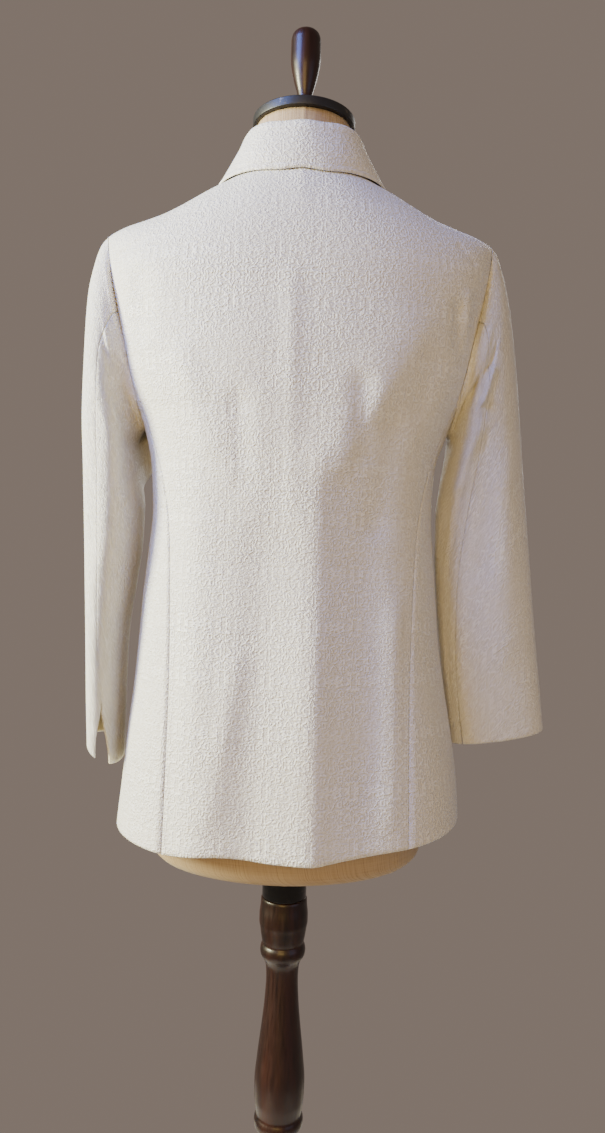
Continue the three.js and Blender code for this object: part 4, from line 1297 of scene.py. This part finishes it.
@dataclass(frozen=True)
class SatinJacquard:
    """Off-white viscose jacquard, woven with satin lines that stand up from a crepe ground.

    The satin lines catch the light and the crinkled ground between them stays dull, so the cloth
    shows a fine tone on tone relief. Their sheen is also painted into the colour as a lighter tone
    on the lines, and the hollows of the crinkle are painted darker as shade. The lines wind round
    plain rosettes in upright columns.
    """

    ground: str = "#dfdad1"
    # figure is the satin lines' colour, lighter than the ground as a painted sheen.
    figure: str = "#f1eee8"
    # A painted shade colour for the hollows of the crinkle.
    painted_crinkle_shade: str = "#bdb19c"
    column: float = 44
    rosette_across: float = 22
    rosette_along: float = 26
    line_spacing: float = 2.8
    crinkle_across: float = 4.6
    crinkle_along: float = 2.4
    winding_scale: float = 0.13
    winding: float = 80.0
    rings: float = 5.0
    cloud_scale: float = 0.014
    weft_apart: float = 70.0
    figure_height: float = 0.5
    crinkle_height: float = 1.4

    def scrolls(self, tree: bpy.types.NodeTree, across: object, along: object) -> bpy.types.Node:
        """The satin lines, from 0 to 1.

        Args:
            tree: the material's node tree.
            across: the place across the cloth, in millimetres.
            along: the place along it.

        Returns:
            The node that gives them.
        """
        in_column = add_node(tree, "Math", {0: across, 1: self.column / 2}, operation="PINGPONG")
        in_repeat = add_node(tree, "Math", {0: along, 1: self.rosette_along}, operation="PINGPONG")
        mirrored = add_node(tree, "CombineXYZ", {0: in_column, 1: in_repeat})
        winding = add_node(
            tree, "TexNoise", {"Vector": mirrored, "Scale": self.winding_scale, "Detail": 1.0}
        )
        turn_u = add_node(tree, "Math", {0: across, 1: math.tau / self.rosette_across}, operation="MULTIPLY")
        turn_v = add_node(tree, "Math", {0: along, 1: math.tau / self.rosette_along}, operation="MULTIPLY")
        wave_u = add_node(tree, "Math", {0: turn_u}, operation="COSINE")
        wave_v = add_node(tree, "Math", {0: turn_v}, operation="COSINE")
        rosette = add_node(tree, "Math", {0: wave_u, 1: wave_v}, operation="ADD")
        rings = add_node(tree, "Math", {0: rosette, 1: self.rings / self.line_spacing}, operation="MULTIPLY")
        turns = {0: winding, 1: self.winding / self.line_spacing, 2: rings}
        phase = add_node(tree, "Math", turns, operation="MULTIPLY_ADD")
        wave = add_node(tree, "Math", {0: phase}, operation="SINE")
        return add_node(tree, "MapRange", {0: wave, 1: -0.5, 2: 0.8}, interpolation_type="SMOOTHSTEP")

    def build(self) -> bpy.types.Material:
        """The finished material."""
        material, tree = new_material("satin_jacquard")
        chart = add_node(tree, "UVMap", uv_map="cloth")
        flat = add_node(tree, "VectorMath", {0: chart, "Scale": 1000.0}, operation="SCALE")
        spot = add_node(tree, "SeparateXYZ", {0: flat})
        across, along = spot.outputs[0], spot.outputs[1]
        lines = self.scrolls(tree, across, along)
        # The lines stand out more in some places than in others, by a slow random cloud that sets how much
        # painted sheen, shine and relief they have.
        cloudy = add_node(tree, "TexNoise", {"Vector": flat, "Scale": self.cloud_scale, "Detail": 2.0})
        showing = add_node(tree, "MapRange", {0: cloudy, 1: 0.38, 2: 0.6, 3: 0.45, 4: 1.0})
        raised = add_node(tree, "Math", {0: lines, 1: showing}, operation="MULTIPLY")
        # The crepe ground crinkles crosswise between the lines.
        shape = (1 / self.crinkle_across, 1 / self.crinkle_along, 1.0)
        stretched = add_node(tree, "VectorMath", {0: flat, 1: shape}, operation="MULTIPLY")
        crinkle = add_node(
            tree,
            "TexNoise",
            {"Vector": stretched, "Scale": 1.0, "Detail": 2.0, "Roughness": 0.6, "Distortion": 0.7},
        )
        # Single weft cords show as straight lines across the cloth, in bands 70 mm apart.
        weft_at = add_node(tree, "Math", {0: along, 1: self.weft_apart / 2}, operation="PINGPONG")
        weft = add_node(
            tree, "MapRange", {0: weft_at, 1: 0.4, 2: 1.4, 3: 0.5, 4: 0.0}, interpolation_type="SMOOTHSTEP"
        )
        weft_share = add_node(tree, "MapRange", {0: cloudy, 1: 0.5, 2: 0.62})
        cords = add_node(tree, "Math", {0: weft, 1: weft_share}, operation="MULTIPLY")
        standing = add_node(tree, "Math", {0: raised, 1: cords}, operation="ADD")
        figure_part = add_node(tree, "Math", {0: standing, 1: self.figure_height}, operation="MULTIPLY")
        height = add_node(
            tree, "Math", {0: crinkle, 1: self.crinkle_height, 2: figure_part}, operation="MULTIPLY_ADD"
        )
        bump = add_node(tree, "Bump", {"Strength": 1.0, "Distance": MM, "Height": height})
        # Painted sheen: the satin lines are painted lighter than the ground.
        tone = add_node(
            tree,
            "Mix",
            {0: raised, 6: linear(self.ground), 7: linear(self.figure)},
            data_type="RGBA",
        )
        # Painted shade: the crinkle's hollows are darkened toward the shade colour.
        depth = add_node(tree, "MapRange", {0: crinkle, 1: 0.3, 2: 0.5, 3: 0.3, 4: 0.0})
        shaded = add_node(
            tree, "Mix", {0: depth, 6: tone.outputs[2], 7: linear(self.painted_crinkle_shade)}, data_type="RGBA"
        )
        rough = add_node(tree, "MapRange", {0: raised, 3: 0.56, 4: 0.36})
        shader = add_node(
            tree,
            "BsdfPrincipled",
            {
                "Base Color": shaded.outputs[2],
                "Roughness": rough,
                "Normal": bump,
                "IOR": 1.47,
                "Sheen Weight": 0.15,
                "Sheen Roughness": 0.4,
            },
        )
        close_material(tree, shader)
        return material


@dataclass(frozen=True)
class TwillLining:
    """Pale acetate twill lining: smooth, with a soft shine and faint slanting ribs."""

    colour: str = "#cdc0a6"
    shade: str = "#bfb092"

    def build(self) -> bpy.types.Material:
        """The finished material."""
        material, tree = new_material("acetate_twill_lining")
        chart = add_node(tree, "UVMap", uv_map="cloth")
        # Twill ribs lie 0.7 mm apart; they are drawn at 2 mm so that they show.
        flat = add_node(tree, "VectorMath", {0: chart, "Scale": 1000.0}, operation="SCALE")
        ribs = add_node(
            tree, "TexWave", {"Vector": flat, "Scale": 0.16, "Distortion": 0.6}, bands_direction="DIAGONAL"
        )
        cloudy = add_node(tree, "TexNoise", {"Vector": flat, "Scale": 0.03, "Detail": 2.0})
        tone = add_node(
            tree, "Mix", {0: cloudy, 6: linear(self.colour), 7: linear(self.shade)}, data_type="RGBA"
        )
        rough = add_node(tree, "MapRange", {0: ribs, 3: 0.34, 4: 0.46})
        bump = add_node(
            tree, "Bump", {"Strength": 0.25, "Distance": 0.2 * MM, "Height": ribs.outputs[1]}
        )
        shader = add_node(
            tree,
            "BsdfPrincipled",
            {"Base Color": tone.outputs[2], "Roughness": rough, "Normal": bump, "IOR": 1.48},
        )
        close_material(tree, shader)
        return material


@dataclass(frozen=True)
class UnbleachedLinen:
    """Unbleached linen in plain weave: dull beige, with thick and thin threads running upright."""

    thread: str = "#a48c6e"
    slub: str = "#b39c7e"
    # gap is a painted shade colour for the gaps between the threads.
    gap: str = "#8b7356"

    def build(self) -> bpy.types.Material:
        """The finished material."""
        material, tree = new_material("unbleached_linen")
        chart = add_node(tree, "UVMap", uv_map="cloth")
        flat = add_node(tree, "VectorMath", {0: chart, "Scale": 1000.0}, operation="SCALE")
        # Threads lie 0.6 mm apart; they are drawn at about 1.2 mm so that they show.
        warp = add_node(tree, "VectorMath", {0: flat, 1: (0.85, 0.012, 1.0)}, operation="MULTIPLY")
        weft = add_node(tree, "VectorMath", {0: flat, 1: (0.02, 0.85, 1.0)}, operation="MULTIPLY")
        upright = add_node(tree, "TexNoise", {"Vector": warp, "Scale": 1.0, "Detail": 2.0})
        crosswise = add_node(tree, "TexNoise", {"Vector": weft, "Scale": 1.0, "Detail": 2.0})
        woven = add_node(
            tree, "Math", {0: crosswise, 1: 0.35, 2: upright}, operation="MULTIPLY_ADD"
        )
        slubs = add_node(tree, "MapRange", {0: woven, 1: 0.55, 2: 0.85})
        # Painted shade: the gaps between the threads, where the weave lies low, are painted darker.
        gap_shade = add_node(tree, "MapRange", {0: woven, 1: 0.62, 2: 0.45})
        tone = add_node(
            tree, "Mix", {0: slubs, 6: linear(self.thread), 7: linear(self.slub)}, data_type="RGBA"
        )
        deep = add_node(
            tree, "Mix", {0: gap_shade, 6: tone.outputs[2], 7: linear(self.gap)}, data_type="RGBA"
        )
        rough = add_node(tree, "MapRange", {0: slubs, 3: 0.9, 4: 0.78})
        bump = add_node(tree, "Bump", {"Strength": 0.7, "Distance": 0.4 * MM, "Height": woven})
        shader = add_node(
            tree,
            "BsdfPrincipled",
            {
                "Base Color": deep.outputs[2],
                "Roughness": rough,
                "Normal": bump,
                "IOR": 1.5,
                "Sheen Weight": 0.1,
            },
        )
        close_material(tree, shader)
        return material


@dataclass(frozen=True)
class WornBlackSteel:
    """Painted black steel plate: dull black, rubbed to bare grey metal in places by handling."""

    paint: str = "#1b1a1b"
    bare: str = "#6d675f"

    def build(self) -> bpy.types.Material:
        """The finished material."""
        material, tree = new_material("worn_black_steel")
        place = add_node(tree, "NewGeometry")
        patches = add_node(
            tree, "TexNoise", {"Vector": place.outputs[0], "Scale": 55.0, "Detail": 5.0, "Roughness": 0.62}
        )
        rubbed = add_node(tree, "MapRange", {0: patches, 1: 0.61, 2: 0.68})
        tone = add_node(
            tree, "Mix", {0: rubbed, 6: linear(self.paint), 7: linear(self.bare)}, data_type="RGBA"
        )
        grain = add_node(
            tree, "TexNoise", {"Vector": place.outputs[0], "Scale": 900.0, "Detail": 2.0}
        )
        metal = add_node(tree, "MapRange", {0: rubbed, 3: 0.0, 4: 0.9})
        rough = add_node(tree, "MapRange", {0: grain, 1: 0.3, 2: 0.7, 3: 0.38, 4: 0.55})
        bump = add_node(tree, "Bump", {"Strength": 0.3, "Distance": 0.15 * MM, "Height": grain})
        shader = add_node(
            tree,
            "BsdfPrincipled",
            {"Base Color": tone.outputs[2], "Metallic": metal, "Roughness": rough, "Normal": bump},
        )
        close_material(tree, shader)
        return material


@dataclass(frozen=True)
class BlackEnamel:
    """Glossy black stoving enamel on turned steel, with faint scuffs."""

    colour: str = "#0e0e10"
    scuff: str = "#242326"

    def build(self) -> bpy.types.Material:
        """The finished material."""
        material, tree = new_material("black_enamel")
        place = add_node(tree, "NewGeometry")
        marks = add_node(
            tree, "TexNoise", {"Vector": place.outputs[0], "Scale": 120.0, "Detail": 6.0}
        )
        share = add_node(tree, "MapRange", {0: marks, 1: 0.55, 2: 0.75})
        tone = add_node(
            tree, "Mix", {0: share, 6: linear(self.colour), 7: linear(self.scuff)}, data_type="RGBA"
        )
        rough = add_node(tree, "MapRange", {0: share, 3: 0.14, 4: 0.34})
        bump = add_node(tree, "Bump", {"Strength": 0.1, "Distance": 0.2 * MM, "Height": marks})
        shader = add_node(
            tree,
            "BsdfPrincipled",
            {"Base Color": tone.outputs[2], "Roughness": rough, "Normal": bump, "IOR": 1.52},
        )
        close_material(tree, shader)
        return material


@dataclass(frozen=True)
class PolishedMahogany:
    """Dark stained mahogany, turned on a lathe and varnished: red brown, with fine upright grain."""

    dark: str = "#0e0301"
    light: str = "#2c0f04"

    def build(self) -> bpy.types.Material:
        """The finished material."""
        material, tree = new_material("polished_mahogany")
        place = add_node(tree, "NewGeometry")
        # Grain lines lie 1 to 2 mm apart across and run 60 mm and more along the turning.
        along = add_node(
            tree, "VectorMath", {0: place.outputs[0], 1: (1.0, 1.0, 0.06)}, operation="MULTIPLY"
        )
        grain = add_node(
            tree, "TexNoise", {"Vector": along, "Scale": 420.0, "Detail": 4.0, "Distortion": 0.4}
        )
        figure = add_node(tree, "TexNoise", {"Vector": along, "Scale": 60.0, "Detail": 2.0})
        mixed = add_node(tree, "Math", {0: grain, 1: 0.5, 2: figure}, operation="MULTIPLY_ADD")
        share = add_node(tree, "MapRange", {0: mixed, 1: 0.55, 2: 0.95})
        tone = add_node(
            tree, "Mix", {0: share, 6: linear(self.dark), 7: linear(self.light)}, data_type="RGBA"
        )
        rough = add_node(tree, "MapRange", {0: grain, 1: 0.3, 2: 0.7, 3: 0.34, 4: 0.48})
        bump = add_node(tree, "Bump", {"Strength": 0.12, "Distance": 0.2 * MM, "Height": grain})
        shader = add_node(
            tree,
            "BsdfPrincipled",
            {
                "Base Color": tone.outputs[2],
                "Roughness": rough,
                "Normal": bump,
                "IOR": 1.45,
                "Coat Weight": 0.2,
                "Coat Roughness": 0.15,
            },
        )
        close_material(tree, shader)
        return material


@dataclass(frozen=True)
class PaintedPlaster:
    """Pale matt plaster for the floor, with a barely seen mottle."""

    colour: str = "#cfc9c2"
    mottle: str = "#c4bdb5"

    def build(self) -> bpy.types.Material:
        """The finished material."""
        material, tree = new_material("painted_plaster")
        place = add_node(tree, "NewGeometry")
        cloudy = add_node(
            tree, "TexNoise", {"Vector": place.outputs[0], "Scale": 9.0, "Detail": 4.0}
        )
        tone = add_node(
            tree, "Mix", {0: cloudy, 6: linear(self.colour), 7: linear(self.mottle)}, data_type="RGBA"
        )
        rough = add_node(tree, "MapRange", {0: cloudy, 3: 0.75, 4: 0.9})
        shader = add_node(
            tree, "BsdfPrincipled", {"Base Color": tone.outputs[2], "Roughness": rough}
        )
        close_material(tree, shader)
        return material


@dataclass(frozen=True)
class Lamp:
    """A square soft light, aimed at the object."""

    name: str
    place: tuple[float, float, float]
    aim: tuple[float, float, float]
    size: float
    power: float
    colour: tuple[float, float, float]

    def build(self) -> None:
        """Hangs the light."""
        light = bpy.data.lights.new(self.name, "AREA")
        light.size = self.size
        light.energy = self.power
        light.color = self.colour
        lamp = bpy.data.objects.new(self.name, light)
        bpy.context.scene.collection.objects.link(lamp)
        toward = Matrix.Translation(self.aim).translation - Matrix.Translation(self.place).translation
        lamp.location = self.place
        lamp.rotation_mode = "QUATERNION"
        lamp.rotation_quaternion = toward.to_track_quat("-Z", "Y")
        lamp.visible_camera = False


@dataclass
class Studio:
    """The floor, the soft light and the camera at the photograph's angle."""

    floor: bpy.types.Material
    floor_half: float = 0.57
    backdrop: str = "#81746b"
    backdrop_strength: float = 1.0
    eye: tuple[float, float, float] = (0.0, 0.913, 1.060)
    lens: float = 26.37
    yaw: float = -0.681
    pitch: float = -0.963
    roll: float = -1.495
    lamps: Sequence[Lamp] = (
        Lamp("window_day", (2.0, 0.45, 1.55), (0.0, 0.1, 1.15), 0.7, 165, (1.0, 0.99, 0.66)),
        Lamp("window_sky", (1.15, 0.8, 2.2), (0.0, 0.1, 1.35), 0.8, 44, (0.16, 0.3, 1.0)),
        Lamp("warm_room", (0.35, 2.4, 1.35), (0.0, 0.1, 1.1), 1.2, 30, (1.0, 0.68, 0.22)),
        Lamp("far_fill", (-1.8, 1.5, 1.2), (0.0, 0.1, 1.0), 1.6, 7, (0.55, 0.65, 1.0)),
        Lamp("front_fill", (-0.6, -2.2, 2.0), (0.0, 0.0, 1.1), 1.6, 30, (1.0, 0.97, 0.93)),
    )

    def build(self) -> None:
        """Makes the floor, the lights, the backdrop colour and the camera."""
        half = self.floor_half
        mesh = bpy.data.meshes.new("floor")
        corners = [(-half, -half, 0), (half, -half, 0), (half, half, 0), (-half, half, 0)]
        mesh.from_pydata(corners, [], [(0, 1, 2, 3)])
        mesh.materials.append(self.floor)
        floor = bpy.data.objects.new("floor", mesh)
        bpy.context.scene.collection.objects.link(floor)
        for lamp in self.lamps:
            lamp.build()
        world = bpy.data.worlds.new("studio")
        world.use_nodes = True
        bpy.context.scene.world = world
        world.node_tree.nodes["Background"].inputs[0].default_value = linear(self.backdrop)
        world.node_tree.nodes["Background"].inputs[1].default_value = self.backdrop_strength
        self.build_camera()

    def build_camera(self) -> None:
        """The camera, turned from looking along -Y by its yaw, pitch and roll."""
        camera = bpy.data.cameras.new("camera")
        camera.sensor_width = 36
        camera.lens = self.lens
        camera.clip_start, camera.clip_end = 0.05, 50
        view = bpy.data.objects.new("camera", camera)
        bpy.context.scene.collection.objects.link(view)
        ahead, right, up = (Matrix.Identity(3).col[i].copy() for i in (1, 0, 2))
        ahead, right = -ahead, -right
        yaw = Matrix.Rotation(math.radians(self.yaw), 3, "Z")
        ahead, right = yaw @ ahead, yaw @ right
        pitch = Matrix.Rotation(math.radians(self.pitch), 3, right)
        ahead, up = pitch @ ahead, pitch @ up
        roll = Matrix.Rotation(math.radians(self.roll), 3, ahead)
        right, up = roll @ right, roll @ up
        turn = Matrix((right, up, -ahead)).transposed().to_4x4()
        view.matrix_world = Matrix.Translation(self.eye) @ turn
        bpy.context.scene.camera = view


LEFT_SECTIONS = Table(
    "out_x out_z in_x in_z back front elbow inseam",
    [
        (212, 1391, 168, 1187, 53, 58, 84, 222),
        (219.5, 1368, 172, 1180, 58, 63, 84, 224),
        (226, 1332, 175, 1170, 62, 66, 83, 226),
        (228.5, 1280, 173, 1155, 65, 68, 82, 228),
        (229.5, 1215, 169, 1132, 66, 68, 80, 230),
        (228, 1150, 165.5, 1104, 66, 66, 80, 232),
        (225.5, 1085, 166.5, 1068, 65, 63, 81, 234),
        (223, 1018, 172.5, 1020, 62, 60, 85, 236),
        (220.5, 958, 180, 962, 60, 57, 95, 238),
        (219, 905, 181.5, 892, 57, 54, 108, 240),
        (217, 854, 182, 829, 55, 52, 112, 240),
    ],
)
RIGHT_SECTIONS = Table(
    "out_x out_z in_x in_z back front elbow inseam",
    [
        (211.5, 1391, 168, 1187, 52, 58, 84, 222),
        (219.5, 1368, 168, 1179, 56, 62, 86, 224),
        (228, 1330, 166, 1168, 58, 63, 90, 228),
        (235.5, 1278, 163, 1152, 58, 62, 97, 232),
        (242.5, 1215, 159.5, 1130, 56, 60, 106, 237),
        (249.5, 1145, 156.5, 1102, 53, 57, 116, 243),
        (257, 1078, 156.5, 1063, 49, 52, 126, 249),
        (263.5, 1018, 159.5, 1012, 44, 46, 134, 255),
        (270, 962, 165, 955, 38, 39, 140, 260),
        (276, 915, 172, 905, 32, 31, 143, 264),
        (281, 872, 179.5, 855, 27, 24, 144, 266),
    ],
)
# Round a sleeve x is an angle in degrees, from its outer edge by way of the back, and z is along it.
LEFT_CREASES = (
    Crease(90, 96, 118, 14, 8, 3.2),
    Crease(98, 118, 140, 52, 13, -3),
    Crease(124, 142, 158, 40, 9, -4),
    Crease(118, 168, 150, 92, 12, 3),
    Crease(118, 160, 104, 330, 17, 3.5),
    Crease(146, 150, 140, 260, 12, -4),
    Crease(84, 200, 60, 330, 16, -2.5),
    Crease(20, 60, 8, 250, 22, 2),
    Crease(300, 70, 318, 240, 20, 4),
    Crease(282, 120, 292, 330, 14, -4),
)
LEFT_PRESSES = (Crease(234, 110, 234, 222, 24, 24),)
RIGHT_CREASES = (
    Crease(92, 30, 84, 96, 12, 2),
    Crease(78, 128, 118, 100, 9, -6),
    Crease(112, 106, 150, 40, 12, -9),
    Crease(82, 138, 104, 150, 10, 4),
    Crease(100, 142, 132, 240, 14, 6),
    Crease(94, 200, 100, 330, 14, -3),
    Crease(70, 240, 84, 400, 20, 3),
    Crease(300, 70, 316, 250, 20, 4),
    Crease(284, 130, 296, 320, 14, -4),
)
LEFT_CUTS = {"top": ((0.2, 0.55), 0.084), "under": ((0.15, 0.48), 0.049)}
RIGHT_CUTS = {"top": ((0.23, 0.55), 0.097), "under": ((0.11, 0.47), 0.039)}


def main() -> None:
    """Builds the garment, the form, its stand and the studio in order."""
    logging.basicConfig(level=logging.INFO, format="%(name)s %(message)s")
    cloth, lining = SatinJacquard().build(), TwillLining().build()
    linen, wood = UnbleachedLinen().build(), PolishedMahogany().build()
    surface = BodySurface()
    DressForm(linen, WornBlackSteel().build(), wood).build()
    Stand(wood, BlackEnamel().build()).build()
    body = Body(surface, cloth, lining)
    body.build()
    left = (LEFT_SECTIONS, LEFT_CREASES, LEFT_PRESSES, 23, 0.3, LEFT_CUTS)
    right = (RIGHT_SECTIONS, RIGHT_CREASES, (), 1.2, 0.03, RIGHT_CUTS)
    Sleeve(Hand.LEFT, surface, cloth, lining, *left).build()
    Sleeve(Hand.RIGHT, surface, cloth, lining, *right).build()
    Collar(surface, body, cloth).build()
    CoveredButton(surface, cloth).build()
    Studio(PaintedPlaster().build()).build()


if __name__ == "__main__":
    main()
